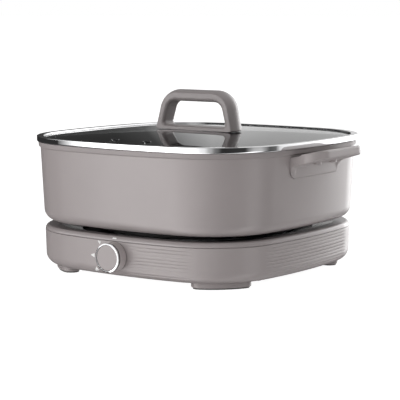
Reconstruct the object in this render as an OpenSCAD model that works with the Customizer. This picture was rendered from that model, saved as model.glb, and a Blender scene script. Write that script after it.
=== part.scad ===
// Electric hot pot: a square pot with a domed glass lid, standing on a heated base.
// Millimetres, +Z up, front towards -Y. The origin is on the table, below the middle.

/* [Plan outline] */
// Reference outline: from the centre to the middle of a side
plan_half = 140; // [128:1:155]
// Reference outline: corner radius
corner_r = 82; // [72:1:92]
// Reference outline: radius of the bowed sides
side_bow_r = 523; // [420:1:800]
// Straight steps along each bowed side
side_steps = 5; // [4:1:8]
// Straight steps round each corner
corner_steps = 10; // [6:1:14]

/* [Fits] */
// Gap between pieces that are fixed together
fit = 0.3; // [0.2:0.05:0.5]
// Gap between a screw and its hole
screw_fit = 0.1; // [0.05:0.05:0.2]
// Radial clearance of the switch shaft in its bushing
shaft_fit = 0.05; // [0.02:0.01:0.1]

/* [Feet] */
// Height of the base above the table
foot_h = 6.3; // [5:0.1:9]
// Thickness of the rubber pad under a foot
pad_t = 1.2; // [0.8:0.1:2]
// Inset of the rubber pad from the edge of its foot
pad_inset = 1.5; // [1:0.1:3]
// Inset of a foot's outer edge from the reference outline
foot_inset = 16.5; // [15:0.5:20]
// Radial width of a foot
foot_w = 18; // [12:0.5:20]
// Half of the angle that a foot sweeps round its corner
foot_half_angle = 20; // [10:1:22]

/* [Base shell] */
// Height of the base shell, from its underside to the seam
base_h = 34.2; // [33:0.1:45]
// Inset of the base wall at the seam
base_inset_top = 5.4; // [4:0.1:8]
// Inset of the base wall above its bottom fillet
base_inset_low = 6; // [4:0.1:8]
// Fillet round the bottom of the base
base_fillet = 11; // [8:0.5:12]
// Wall of the base shell
base_wall = 2.5; // [2:0.1:3]
// Width of the flat flange inside the bottom fillet
base_flange_w = 2; // [1.5:0.1:3]
// Thickness of the bottom cover
cover_t = 2.2; // [1.6:0.1:3]
// Length of a cooling slot in the bottom cover
slot_len = 40; // [20:1:50]
// Width of a cooling slot
slot_w = 3; // [2:0.5:4]
// Number of cooling slots in the bottom cover
slot_count = 5; // [1:2:7]
// Spacing of the cooling slots
slot_pitch = 9; // [6:0.5:10]

/* [Top ring] */
// Height of the ring's crest above the seam
ring_h = 4.7; // [2.5:0.1:5]
// Inset of the ring's crest
crest_inset = 9.5; // [8:0.1:10.5]
// Depth of the dish inside the crest
dish_drop = 5.2; // [4:0.1:6]
// Inset of the dish's inner edge
dish_inset = 34; // [32:0.5:38]
// Thickness of the ring
ring_t = 1.8; // [1.5:0.1:2]
// Width of the flat seat under the dish's inner edge
ring_seat_w = 3.5; // [3:0.1:4]
// Depth of the skirt that plugs into the base shell
skirt_h = 3.7; // [3:0.1:5]
// Thickness of the skirt
skirt_t = 2; // [1.5:0.1:2.5]
// Inset of the screw bosses under the ring
boss_inset = 25; // [23:0.5:26]
// Angle of a screw boss from the corner's diagonal
boss_angle = 40; // [38:1:42]
// Radius of a screw boss
boss_r = 4.5; // [4:0.1:5]

/* [Heater] */
// Thickness of the black tray
tray_t = 1.2; // [0.8:0.1:1.5]
// Gap between the tray and the heating plate
tray_gap = 3; // [2:0.5:4]
// Distance from the middle of a side in to the heating plate's edge
plate_inset = 50; // [48:1:52]
// Thickness of the heating plate
plate_t = 8; // [7:0.5:10]
// Distance from the plate's edge in to the heating element's ring
element_inset = 25; // [22:1:30]
// Radius of the heating element's tube
element_tube_r = 4; // [3:0.1:4.5]
// Gap in the element's ring, as an angle
element_gap_angle = 44; // [36:1:60]
// Radius of the element's cold ends
element_end_r = 4.4; // [4.4:0.1:4.8]
// Length of the element's cold ends
element_end_len = 8; // [6:0.5:10]
// Radius of the element's terminal pins
element_pin_r = 1.6; // [1.2:0.1:2]
// Length of the element's terminal pins
element_pin_len = 8; // [6:0.5:9]
// Distance from the plate's edge in to the middle of a post
post_inset = 10; // [9:0.5:11]
// Radius of a post under the heating plate
post_r = 5; // [4:0.1:6]
// Radius of the thermostat
thermostat_r = 9; // [7:0.5:11]
// Height of the thermostat
thermostat_h = 10; // [7:0.5:12]
// Radius of the thermal fuse
fuse_r = 2.2; // [1.8:0.1:2.6]
// Length of the thermal fuse
fuse_len = 12; // [9:0.5:14]
// Length of each lead of the thermal fuse
fuse_lead_len = 7; // [5:0.5:9]
// Sideways place of the thermal fuse
fuse_x = 25; // [20:1:32]
// Radius of a fuse lead
fuse_lead_r = 0.6; // [0.4:0.1:0.8]
// Radius of the earth boss under the plate
earth_r = 4; // [3:0.5:5]
// Length of the earth boss
earth_h = 5; // [3:0.5:7]
// Distance from the element's ring in to the earth boss
earth_inset = 20; // [18:1:26]

/* [Knob and switch] */
// Height of the knob's axis above the table
knob_z = 26.4; // [24:0.1:27]
// Radius of the knob
knob_r = 13.9; // [13:0.1:16]
// Length of the knob, with its bright ring
knob_len = 12.4; // [12:0.1:16]
// Gap between the knob and the base wall
knob_gap = 0.8; // [0.6:0.1:1.5]
// Width of the bright ring on the knob's front edge
knob_ring_w = 2.5; // [1.5:0.1:3]
// Length of the bright ring along the axis
knob_ring_len = 2.6; // [2:0.1:3]
// Depth of the shadow groove behind the bright ring
knob_groove = 0.5; // [0.3:0.1:0.8]
// Wall of the knob's hollow
knob_wall = 2; // [1.6:0.1:2.5]
// Radius of the switch shaft
shaft_r = 3; // [2.5:0.1:3.2]
// Radius of the threaded bushing round the shaft
bushing_r = 4.5; // [4.4:0.1:5]
// How far the bushing stands out of the base wall
bushing_len = 4; // [3.5:0.1:4.5]
// Width across the flats of the bushing's nut
nut_af = 12; // [11:0.5:14]
// Thickness of the bushing's nut
nut_t = 2.2; // [1.5:0.1:2.5]
// Width of the switch body
switch_w = 26; // [22:1:32]
// Height of the switch body
switch_h = 19; // [14:1:20]
// Depth of the switch body
switch_d = 14; // [12:1:18]
// Depth of the shaft's end inside the switch body
shaft_in = 7; // [5:0.5:9]
// Spacing of the switch terminals
switch_term_pitch = 12; // [10:1:16]
// Length of a switch terminal
switch_term_len = 6; // [5:0.5:8]

/* [Power inlet] */
// Width of the inlet housing
inlet_w = 34; // [32:1:40]
// Height of the inlet housing
inlet_h = 25; // [23:1:26]
// How far the housing stands out of the rear wall
inlet_out = 9.2; // [8.6:0.1:11]
// Depth of the housing behind its front face
inlet_depth = 24; // [22:1:30]
// Width of the inlet's socket
socket_w = 25; // [24:0.5:27]
// Height of the inlet's socket
socket_h = 17; // [16:0.5:18]
// Depth of the inlet's socket
socket_depth = 17; // [15:0.5:18]
// Cut across the socket's two upper corners
socket_cut = 4.5; // [3:0.5:6]
// Thickness of the collar inside the rear wall
collar_t = 2; // [1.5:0.1:3]
// Width of the collar round the housing
collar_w = 3; // [2:0.1:4]
// Spacing of the line and neutral pins
pin_pitch = 14; // [12:0.5:15]
// Height of the earth pin above the other two
pin_rise = 4; // [3:0.5:4.5]
// Width of an inlet pin
pin_w = 4; // [3.5:0.1:4.5]
// Thickness of an inlet pin
pin_t = 2; // [1.5:0.1:2.5]
// How far the pins stay back from the housing's front face
pin_back = 4; // [3:0.5:6]
// Length of the pins' tails behind the housing
pin_tail = 7; // [5:0.5:9]

/* [Wiring] */
// Radius of an insulated wire
wire_r = 1.4; // [1:0.1:1.8]
// Gap between a wire's end and its terminal
wire_gap = 0.2; // [0.1:0.05:0.4]

/* [Pot] */
// Gap from the ring's crest up to the flat underside of the pot
pot_gap = 4.6; // [4.4:0.1:9]
// Height of the pot from its underside to the flange
pot_wall_h = 72.7; // [60:0.1:95]
// Inset of the pot's wall above its bottom fillet
pot_inset_low = 4.4; // [3.8:0.1:7]
// Inset of the pot's wall below the flange
pot_inset_top = 1.3; // [1:0.1:3.6]
// Fillet round the bottom of the pot
pot_fillet = 11.4; // [8:0.1:14]
// Wall of the pot
pot_wall = 3; // [2.5:0.1:3.5]
// Floor of the pot
pot_floor = 3.6; // [3:0.1:5]
// Height of the flange round the pot's mouth
flange_h = 5; // [4.5:0.1:8]
// How far the flange stands outside the reference outline
flange_out = 0.8; // [0.4:0.1:1.4]
// How far the pot's contact face reaches below its underside
contact_drop = 6; // [5.6:0.1:7.5]
// Height of the locating ring below the contact face
locator_h = 3; // [2:0.1:3.5]
// Width of the locating ring
locator_w = 8; // [5:0.5:10]
// Radial gap between the locating ring and the heating plate
locator_gap = 1; // [0.8:0.1:1.5]

/* [Side handles] */
// Half of the handle's length along the pot
grip_half = 44; // [38:1:50]
// How far the handle stands out of the wall
grip_reach = 30; // [26:1:36]
// Corner radius of the handle in plan
grip_corner = 18; // [14:1:22]
// Depth of the handle's top below the flange, at the wall
grip_top_drop = 2.2; // [1.5:0.1:4]
// Rise of the handle's top from the wall to its outer edge
grip_rise = 7.5; // [4:0.5:8]
// Height of the handle's outer band
grip_band_h = 9; // [8:0.5:11]
// Rounding of the handle's outer band
grip_edge_r = 2.6; // [1.5:0.1:3]
// Height of the back plate on the wall
grip_back_h = 20.5; // [19:0.5:26]
// Thickness of the back plate
grip_back_t = 1.5; // [1:0.1:2.5]
// Thickness of the web at each end
grip_web_t = 7.5; // [6:0.5:9]
// Radius of the back plate's lower corners
grip_low_r = 8; // [6:0.5:9]
// Radius where the recess meets the back plate
grip_root_r = 3; // [2:0.1:4]
// Length of the steel tab that carries the handle
tab_len = 14; // [13:0.5:15]
// Width of the steel tab
tab_w = 46; // [38:1:54]
// Thickness of the steel tab
tab_t = 2.5; // [2:0.1:3]
// Height of the metal above the tab, at the wall
tab_cover = 1.75; // [1.5:0.05:2]
// Distance of the tab's screws from the wall
tab_screw_out = 9; // [8:0.5:9.5]
// Spacing of the tab's screws
tab_screw_pitch = 28; // [22:1:30]

/* [Lid] */
// Height of the lid's steel rim
rim_h = 5.7; // [5:0.1:7]
// How far the rim stands outside the reference outline
rim_out = 2.2; // [1.2:0.1:2.6]
// Width of the rim's lip over the glass
rim_lip_w = 5.2; // [4:0.1:7]
// Thickness of the rim's sheet
rim_t = 0.6; // [0.4:0.05:0.8]
// Thickness of the rim's outer band
rim_band_t = 2.8; // [2:0.1:3]
// Bevel along the rim's outer edges
rim_bevel = 1.2; // [0.6:0.1:1.4]
// Depth of the rim's plug inside the pot's mouth
plug_h = 2.5; // [1.5:0.1:4]
// Thickness of the plug
plug_t = 1; // [0.6:0.1:1.5]
// Gap between the plug and the pot's wall
plug_gap = 0.6; // [0.4:0.1:1]
// Thickness of the glass
glass_t = 3.6; // [3:0.1:3.8]
// Rise of the glass from its edge to its middle
dome_rise = 4.8; // [3:0.1:12]
// Sideways place of a steam vent
vent_x = 19; // [14:1:40]
// Distance from the middle of the front in to the steam vents
vent_inset = 30; // [28:1:70]
// Radius of a steam vent
vent_r = 2.2; // [2:0.1:4]
// Wall of a vent's grommet
vent_wall = 0.8; // [0.6:0.1:1.4]
// Width of the grommet's flanges
vent_flange_w = 1.4; // [1.2:0.1:3]
// Thickness of the grommet's flanges
vent_flange_t = 0.8; // [0.5:0.1:1.2]

/* [Lid handle] */
// Length of the lid handle at its foot
grab_len = 97; // [84:1:110]
// Length of the lid handle at its top, before rounding
grab_top_len = 79; // [70:1:84]
// Height of the lid handle
grab_h = 40.2; // [36:0.1:52]
// Depth of the lid handle from front to back
grab_depth = 20; // [16:0.5:26]
// Thickness of the top bar
grab_bar_t = 12; // [9:0.1:13]
// Thickness of the foot bar
grab_foot_t = 4.6; // [4:0.1:6]
// Thickness of the legs at the foot
grab_leg_t = 10.6; // [10:0.1:12]
// Thickness of the legs at the top
grab_leg_top_t = 8.4; // [8:0.1:10]
// Outer radius of the two top corners
grab_corner_r = 19; // [10:0.5:20]
// Inner radius of the opening's top corners
grab_inner_r = 9.5; // [5:0.5:10]
// Radius of the foot's corners, outside and inside
grab_foot_r = 4; // [2:0.5:5]
// Rounding of the handle's long edges
grab_edge_r = 4; // [2:0.1:4.2]
// Depth of a screw's hole in the leg
grab_hole_depth = 13; // [11:0.5:15]

/* [Screws] */
// Radius of the lid and side handle screws
m4_r = 1.9; // [1.5:0.1:2]
// Head radius of the lid and side handle screws
m4_head_r = 3.6; // [3:0.1:3.8]
// Head height of the lid and side handle screws
m4_head_h = 2.4; // [1.8:0.1:2.6]
// Radius of the soft washers under the glass
washer_r = 7; // [5:0.5:8]
// Thickness of the soft washers
washer_t = 1.5; // [1:0.1:1.6]
// Radius of the base's screws
base_screw_r = 1.6; // [1.2:0.1:2]
// Head radius of the base's screws
base_head_r = 3.2; // [2.8:0.1:3.5]
// Head height of the base's screws
base_head_h = 2; // [1.5:0.1:2.4]
// Length of the base's screws above the cover
base_screw_len = 10; // [7:0.5:14]
// Spare depth of a screw's hole beyond its tip
screw_spare = 1.5; // [0.5:0.1:2]

/* [Hidden] */
$fn = 64;
eps = 0.01;

taupe = "#A39B97";
dark = "#2B2A29";
steel = "#C9CACC";

// Levels, from the table up
base_z = foot_h;
cover_top_z = base_z + cover_t;
seam_z = base_z + base_h;
crest_z = seam_z + ring_h;
dish_z = crest_z - dish_drop;
tray_z = dish_z - ring_t;
pot_z = crest_z + pot_gap;
plate_top_z = pot_z - contact_drop;
plate_z = plate_top_z - plate_t;
flange_z = pot_z + pot_wall_h;
pot_top_z = flange_z + flange_h;
rim_top_z = pot_top_z + rim_h;
glass_edge_z = rim_top_z - rim_t - fit;
glass_top_z = glass_edge_z + dome_rise;
grab_z = glass_top_z + fit;

// Plan outline: a normal angle picks a point on a side's arc or on a corner's arc
bow_c = plan_half - side_bow_r;
corner_c = (bow_c + sqrt(2 * pow(side_bow_r - corner_r, 2) - pow(bow_c, 2))) / 2;
side_angle = atan2(corner_c, corner_c - bow_c);
quarter = concat(
    [for (i = [0 : side_steps - 1]) side_angle * (2 * i / side_steps - 1)],
    [for (i = [0 : corner_steps - 1]) side_angle + (90 - 2 * side_angle) * i / corner_steps]
);
function direction(a) = [cos(a), sin(a)];
function spun(p, a) = [p.x * cos(a) - p.y * sin(a), p.x * sin(a) + p.y * cos(a)];
function outline_point(a, out) = a < side_angle - eps
    ? [bow_c, 0] + (side_bow_r + out) * direction(a)
    : [corner_c, corner_c] + (corner_r + out) * direction(a);
function outline(out) = [for (q = [0 : 3]) for (a = quarter) spun(outline_point(a, out), 90 * q)];
function level(points, z) = [for (p = points) [p.x, p.y, z]];
function ring(out, z) = level(outline(out), z);
function disc(r, z) = [for (q = [0 : 3]) for (a = quarter) [r * cos(a + 90 * q), r * sin(a + 90 * q), z]];
function arc(centre, r, from, to, steps) =
    [for (i = [0 : steps]) centre + r * direction(from + (to - from) * i / steps)];

// A skin through loops of points, closed by end faces or joined up end to end
module loft(loops, joined = false) {
    n = len(loops[0]);
    m = len(loops);
    sides = [
        for (i = [0 : joined ? m - 1 : m - 2])
        for (j = [0 : n - 1])
        let (k = (j + 1) % n, low = i * n, high = (i + 1) % m * n)
        each [[low + j, high + j, high + k], [low + j, high + k, low + k]]
    ];
    ends = joined ? [] : [[for (j = [0 : n - 1]) j], [for (j = [n - 1 : -1 : 0]) (m - 1) * n + j]];
    polyhedron([for (loop = loops) each loop], concat(sides, ends), convexity = 10);
}

// A ring whose section is a list of [distance outside the outline, height]
module outline_ring(section) {
    loft([for (p = section) ring(p.x, p.y)], joined = true);
}

module outline_plate(out, z, t) {
    translate([0, 0, z])
        linear_extrude(t)
            polygon(outline(out));
}

module at_corners() {
    for (q = [0 : 3])
        rotate(90 * q)
            children();
}

// A pan-head screw that points up, with the underside of its head at the origin
module screw(r, length, head_r, head_h) {
    translate([0, 0, -head_h])
        cylinder(r = head_r, h = head_h);
    translate([0, 0, -eps])
        cylinder(r = r, h = length + eps);
}

// Base

base_low_arc_z = base_z + base_fillet;
base_flange_inset = base_inset_low + base_fillet;
cover_inset = base_flange_inset + base_flange_w + fit;
front_wall_inset = base_inset_low
    + (base_inset_top - base_inset_low) * (knob_z - base_low_arc_z) / (seam_z - base_low_arc_z);
wall_y = plan_half - front_wall_inset;
wall_inner_y = wall_y - base_wall;

// How far in a flat face has to stay to clear the bowed wall over its half width
function inside_wall(half_w) = plan_half - base_inset_low - base_wall - half_w * half_w / (2 * side_bow_r);

module base_shell() {
    fillet_c = [-base_flange_inset, base_low_arc_z];
    section = concat(
        [[-base_flange_inset - base_flange_w, base_z]],
        arc(fillet_c, base_fillet, -90, 0, 6),
        [[-base_inset_top, seam_z], [-base_inset_top - base_wall, seam_z]],
        arc(fillet_c, base_fillet - base_wall, 0, -90, 5),
        [[-base_flange_inset - base_flange_w, base_z + base_wall]]
    );
    color(taupe)
        difference() {
            outline_ring(section);
            translate([0, -wall_inner_y + base_wall, knob_z])
                rotate([90, 0, 0])
                    cylinder(r = bushing_r + fit, h = 3 * base_wall);
            translate([0, wall_inner_y - base_fillet, inlet_z])
                inlet_block(inlet_w + 2 * fit, inlet_h + 2 * fit, base_fillet + 2 * base_wall);
        }
}

boss_at = [corner_c, corner_c] + (corner_r - boss_inset) * direction(45 + boss_angle);
dish_slope = dish_drop / (dish_inset - crest_inset);
boss_top_z = crest_z - dish_slope * (boss_inset - crest_inset) - ring_t / 2;

module top_ring() {
    skirt_out = -base_inset_top - base_wall - fit;
    crest_r = crest_inset - base_inset_top;
    seat_inset = dish_inset - ring_seat_w;
    crest_c = [-crest_inset, seam_z];
    section = concat(
        [for (i = [0 : 5]) crest_c + [crest_r * cos(18 * i), ring_h * sin(18 * i)]],
        [
            [-dish_inset, dish_z],
            [-dish_inset, tray_z],
            [-seat_inset, tray_z],
            [skirt_out - skirt_t, crest_z - dish_slope * (skirt_t - skirt_out - crest_inset) - ring_t],
            [skirt_out - skirt_t, seam_z - skirt_h],
            [skirt_out, seam_z - skirt_h],
            [skirt_out, seam_z]
        ]
    );
    color(taupe)
        difference() {
            union() {
                outline_ring(section);
                at_corners()
                    translate([boss_at.x, boss_at.y, cover_top_z])
                        cylinder(r = boss_r, h = boss_top_z - cover_top_z);
            }
            at_corners()
                translate([boss_at.x, boss_at.y, cover_top_z - eps])
                    cylinder(r = base_screw_r + screw_fit, h = base_screw_len + screw_spare);
        }
}

post_angles = [30, 150, 270];

module at_posts(z) {
    for (a = post_angles)
        rotate(a)
            translate([plate_r - post_inset, 0, z])
                children();
}

module bottom_cover() {
    hole_r = base_screw_r + screw_fit;
    color(taupe)
        difference() {
            outline_plate(-cover_inset, base_z, cover_t);
            at_corners()
                translate([boss_at.x, boss_at.y, base_z - eps])
                    cylinder(r = hole_r, h = cover_t + 2 * eps);
            at_posts(base_z - eps)
                cylinder(r = hole_r, h = cover_t + 2 * eps);
            for (i = [0 : slot_count - 1])
                translate([-slot_len / 2, slot_pitch * (i - (slot_count - 1) / 2) - slot_w / 2, base_z - eps])
                    cube([slot_len, slot_w, cover_t + 2 * eps]);
        }
}

module drip_tray() {
    color(dark)
        difference() {
            outline_plate(-dish_inset + ring_seat_w - fit, tray_z - tray_t, tray_t);
            translate([0, 0, tray_z - tray_t - eps])
                cylinder(r = plate_r + tray_gap, h = tray_t + 2 * eps);
        }
}

module cover_screws() {
    color(steel)
        at_corners()
            translate([boss_at.x, boss_at.y, base_z])
                screw(base_screw_r, base_screw_len, base_head_r, base_head_h);
}

// Feet: a curved bar with round ends along each corner

foot_mid_r = corner_r - foot_inset - foot_w / 2;

function foot_outline(half_w) = concat(
    arc([0, 0], foot_mid_r + half_w, -foot_half_angle, foot_half_angle, 6),
    arc(foot_mid_r * direction(foot_half_angle), half_w, foot_half_angle + 30, foot_half_angle + 150, 4),
    arc([0, 0], foot_mid_r - half_w, foot_half_angle, -foot_half_angle, 6),
    arc(foot_mid_r * direction(-foot_half_angle), half_w, 210 - foot_half_angle, 330 - foot_half_angle, 4)
);

module foot_bar(quarter_turn, half_w, z, h) {
    rotate(90 * quarter_turn)
        translate([corner_c, corner_c, z])
            rotate(45)
                linear_extrude(h)
                    polygon(foot_outline(half_w));
}

module foot(quarter_turn) {
    color(taupe)
        foot_bar(quarter_turn, foot_w / 2, pad_t, foot_h - pad_t);
}

module pad(quarter_turn) {
    color("#5A5653")
        foot_bar(quarter_turn, foot_w / 2 - pad_inset, 0, pad_t);
}

// Heater

plate_r = plan_half - plate_inset;
element_r = plate_r - element_inset;
earth_y = element_r - earth_inset;
element_ends = [for (side = [-1, 1]) element_r * direction(270 + side * element_gap_angle / 2)];
element_end_z = plate_z - element_end_len;
element_pin_z = element_end_z - element_pin_len;

module heating_plate() {
    color("#8C8C8E")
        difference() {
            union() {
                translate([0, 0, plate_z])
                    cylinder(r = plate_r, h = plate_t);
                translate([0, earth_y, plate_z - earth_h])
                    cylinder(r = earth_r, h = earth_h + eps);
            }
            translate([0, 0, plate_z])
                rotate_extrude()
                    translate([element_r, 0])
                        circle(r = element_tube_r + screw_fit);
        }
}

module heating_element() {
    color("#6E6A66") {
        translate([0, 0, plate_z])
            rotate([0, 0, 270 + element_gap_angle / 2])
                rotate_extrude(angle = 360 - element_gap_angle)
                    translate([element_r, 0])
                        circle(r = element_tube_r);
        for (p = element_ends) {
            translate([p.x, p.y, element_end_z])
                cylinder(r = element_end_r, h = element_end_len);
            translate([p.x, p.y, element_pin_z])
                cylinder(r = element_pin_r, h = element_pin_len + eps);
        }
    }
}

module plate_posts() {
    color(steel)
        at_posts(cover_top_z)
            difference() {
                cylinder(r = post_r, h = plate_z - cover_top_z);
                translate([0, 0, -eps])
                    cylinder(r = base_screw_r + screw_fit, h = base_screw_len + screw_spare);
            }
}

module plate_screws() {
    color(steel)
        at_posts(base_z)
            screw(base_screw_r, base_screw_len, base_head_r, base_head_h);
}

module thermostat() {
    color("#D8D2C0")
        translate([0, 0, plate_z - thermostat_h])
            cylinder(r = thermostat_r, h = thermostat_h);
}

fuse_z = plate_z - fuse_r - wire_gap;

module thermal_fuse() {
    color("#E6E2DA")
        translate([fuse_x, 0, fuse_z])
            rotate([90, 0, 0]) {
                cylinder(r = fuse_r, h = fuse_len, center = true);
                cylinder(r = fuse_lead_r, h = fuse_len + 2 * fuse_lead_len, center = true);
            }
}

// Switch and knob, along an axis that points out of the front

module front_axis(y) {
    translate([0, -y, knob_z])
        rotate([90, 0, 0])
            children();
}

switch_y = inside_wall(switch_w / 2) - fit;
switch_back_y = switch_y - switch_d;
knob_back_y = wall_y + knob_gap;
knob_seat = knob_len - knob_ring_len;
hub_start = bushing_len - knob_gap + fit;
shaft_end = knob_seat - knob_wall / 2;

module heat_switch() {
    color("#3A3A3C")
        difference() {
            union() {
                front_axis(switch_back_y)
                    translate([-switch_w / 2, -switch_h / 2, 0])
                        cube([switch_w, switch_h, switch_d]);
                front_axis(switch_y - eps)
                    cylinder(r = bushing_r, h = wall_y + bushing_len - switch_y + eps);
                for (side = [-1, 1])
                    front_axis(switch_back_y - switch_term_len)
                        translate([side * switch_term_pitch / 2 - pin_w / 2, -pin_t / 2, 0])
                            cube([pin_w, pin_t, switch_term_len + eps]);
            }
            front_axis(switch_y - shaft_in)
                cylinder(r = shaft_r + shaft_fit, h = shaft_in + wall_y + bushing_len);
        }
}

module switch_nut() {
    color(steel)
        front_axis(wall_y + fit)
            difference() {
                cylinder(d = nut_af / cos(30), h = nut_t, $fn = 6);
                translate([0, 0, -eps])
                    cylinder(r = bushing_r + screw_fit, h = nut_t + 2 * eps);
            }
}

module switch_shaft() {
    color(steel)
        front_axis(switch_y - shaft_in + fit)
            cylinder(r = shaft_r, h = knob_back_y + shaft_end - fit - (switch_y - shaft_in + fit));
}

module knob_body() {
    hub_r = shaft_r + knob_wall;
    hollow = knob_seat - knob_wall;
    color(taupe)
        front_axis(knob_back_y)
            rotate_extrude()
                polygon([
                    [knob_r - knob_wall, 0],
                    [knob_r, 0],
                    [knob_r, knob_seat - knob_groove],
                    [knob_r - knob_groove, knob_seat - knob_groove],
                    [knob_r - knob_groove, knob_seat],
                    [0, knob_seat],
                    [0, shaft_end],
                    [shaft_r + shaft_fit, shaft_end],
                    [shaft_r + shaft_fit, hub_start],
                    [hub_r, hub_start],
                    [hub_r, hollow],
                    [knob_r - knob_wall, hollow]
                ]);
}

module knob_ring() {
    color(steel)
        front_axis(knob_back_y + knob_seat)
            difference() {
                cylinder(r = knob_r, h = knob_ring_len);
                translate([0, 0, -eps])
                    cylinder(r = knob_r - knob_ring_w, h = knob_ring_len + 2 * eps);
            }
}

module knob_cap() {
    color(taupe)
        front_axis(knob_back_y + knob_seat)
            cylinder(r = knob_r - knob_ring_w - screw_fit, h = knob_ring_len - knob_groove);
}

// Power inlet in the rear wall

inlet_z = base_z + base_h / 2;
inlet_front_y = wall_y + inlet_out;
inlet_back_y = inlet_front_y - inlet_depth;
pin_back_y = inlet_back_y - pin_tail;
pin_places = [for (i = [-1 : 1]) [i * pin_pitch / 2, (i == 0 ? 1 : -1) * pin_rise / 2]];

// A block that runs back to front along +Y, centred on the origin in X and Z
module inlet_block(w, h, d) {
    translate([-w / 2, 0, -h / 2])
        cube([w, d, h]);
}

module inlet_socket() {
    corner_x = socket_w / 2;
    corner_z = socket_h / 2;
    translate([0, inlet_front_y + eps, inlet_z])
        rotate([90, 0, 0])
            linear_extrude(socket_depth + eps)
                polygon([
                    [-corner_x, -corner_z],
                    [corner_x, -corner_z],
                    [corner_x, corner_z - socket_cut],
                    [corner_x - socket_cut, corner_z],
                    [socket_cut - corner_x, corner_z],
                    [-corner_x, corner_z - socket_cut]
                ]);
}

module power_inlet() {
    collar_half_w = inlet_w / 2 + collar_w;
    collar_h = inlet_z + inlet_h / 2 - base_low_arc_z;
    color(dark)
        difference() {
            translate([0, 0, inlet_z])
                union() {
                    translate([0, inlet_back_y, 0])
                        inlet_block(inlet_w, inlet_h, inlet_depth);
                    translate([0, inside_wall(collar_half_w) - fit - collar_t, (inlet_h - collar_h) / 2])
                        inlet_block(2 * collar_half_w, collar_h, collar_t);
                }
            inlet_socket();
            for (p = pin_places)
                translate([p.x, inlet_back_y - eps, inlet_z + p.y])
                    inlet_block(pin_t + screw_fit, pin_w + screw_fit, inlet_depth - socket_depth + 2 * eps);
        }
}

module inlet_pins() {
    color(steel)
        for (p = pin_places)
            translate([p.x, pin_back_y, inlet_z + p.y])
                inlet_block(pin_t, pin_w, inlet_front_y - pin_back - pin_back_y);
}

// Wires: round tubes along smooth curves through a few points

wire_z = cover_top_z + 3 * wire_r + fit;
wire_steps = 4;

function between(p, i, t) = let (
    last = len(p) - 1,
    a = p[max(i - 1, 0)], b = p[i], c = p[i + 1], d = p[min(i + 2, last)]
) 0.5 * (2 * b + (c - a) * t + (2 * a - 5 * b + 4 * c - d) * t * t + (3 * b - a - 3 * c + d) * t * t * t);
function smooth(p) = concat(
    [for (i = [0 : len(p) - 2]) for (s = [0 : wire_steps - 1]) between(p, i, s / wire_steps)],
    [p[len(p) - 1]]
);
function unit(v) = v / norm(v);

module wire(points, shade) {
    path = smooth(points);
    last = len(path) - 1;
    end = len(points) - 1;
    ahead = concat(
        [points[1] - points[0]],
        [for (i = [1 : last - 1]) path[i + 1] - path[i - 1]],
        [points[end] - points[end - 1]]
    );
    loops = [
        for (i = [0 : last])
        let (
            along = unit(ahead[i]),
            side = unit(cross([1, 0, 0], along)),
            top = cross(along, side)
        )
        [for (j = [0 : 7]) path[i] + wire_r * (cos(45 * j) * side + sin(45 * j) * top)]
    ];
    color(shade)
        loft(loops);
}

inlet_ends = [for (p = pin_places) [p.x, pin_back_y - wire_gap, inlet_z + p.y]];
switch_end_y = -(switch_back_y - switch_term_len - wire_gap);
switch_ends = [for (side = [-1, 1]) [side * switch_term_pitch / 2, switch_end_y, knob_z]];
heater_ends = [for (p = element_ends) [p.x, p.y, element_pin_z - wire_gap]];
fuse_end = fuse_len / 2 + fuse_lead_len + wire_gap;
wire_bend = 9;
wire_dip = 4.5;
wire_turn = 24;
wire_run_x = 36;

module wire_live() {
    from = inlet_ends[0];
    to = switch_ends[0];
    wire([
        from,
        from + [0, -wire_bend, 0],
        [(from.x - wire_run_x) / 2, from.y - wire_turn, wire_z],
        [-wire_run_x, from.y - 2 * wire_turn, wire_z],
        [-wire_run_x, to.y + 2 * wire_turn, wire_z],
        [(to.x - wire_run_x) / 2, to.y + wire_turn, wire_z],
        to + [0, wire_bend, 0],
        to
    ], "#7A4A32");
}

module wire_heater() {
    from = switch_ends[1];
    to = heater_ends[1];
    wire([
        from,
        from + [0, wire_bend, 0],
        [(from.x + to.x) / 2, (from.y + to.y) / 2, wire_z],
        [to.x, to.y - wire_bend, wire_z],
        to + [0, 0, -wire_dip],
        to
    ], "#7A4A32");
}

module wire_neutral() {
    from = inlet_ends[2];
    to = [fuse_x, fuse_end, fuse_z];
    wire([
        from,
        from + [0, -wire_bend, 0],
        [(from.x + 2 * fuse_x) / 3, from.y - wire_turn, wire_z],
        [fuse_x, to.y + 2 * wire_turn, wire_z],
        to + [0, 2 * wire_bend, -wire_bend],
        to + [0, wire_bend, 0],
        to
    ], "#3F5C86");
}

module wire_fuse() {
    from = [fuse_x, -fuse_end, fuse_z];
    to = heater_ends[0];
    wire([
        from,
        from + [0, -wire_bend, 0],
        (from + to) / 2,
        [to.x + wire_bend, to.y + wire_bend, wire_z],
        to + [0, 0, -wire_dip],
        to
    ], "#3F5C86");
}

module wire_earth() {
    from = inlet_ends[1];
    to = [0, earth_y, plate_z - earth_h - wire_gap];
    wire([
        from,
        from + [0, -wire_bend, 0],
        [0, (from.y + to.y) / 2, wire_z],
        to + [0, wire_bend, -2 * wire_dip],
        to + [0, 0, -wire_dip],
        to
    ], "#7E8F3A");
}

// Pot

pot_arc_z = pot_z + pot_fillet;
locator_r = plate_r + locator_gap;
function pot_wall_out(z) = -pot_inset_low
    + (pot_inset_low - pot_inset_top) * (z - pot_arc_z) / (flange_z - pot_arc_z);

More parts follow.
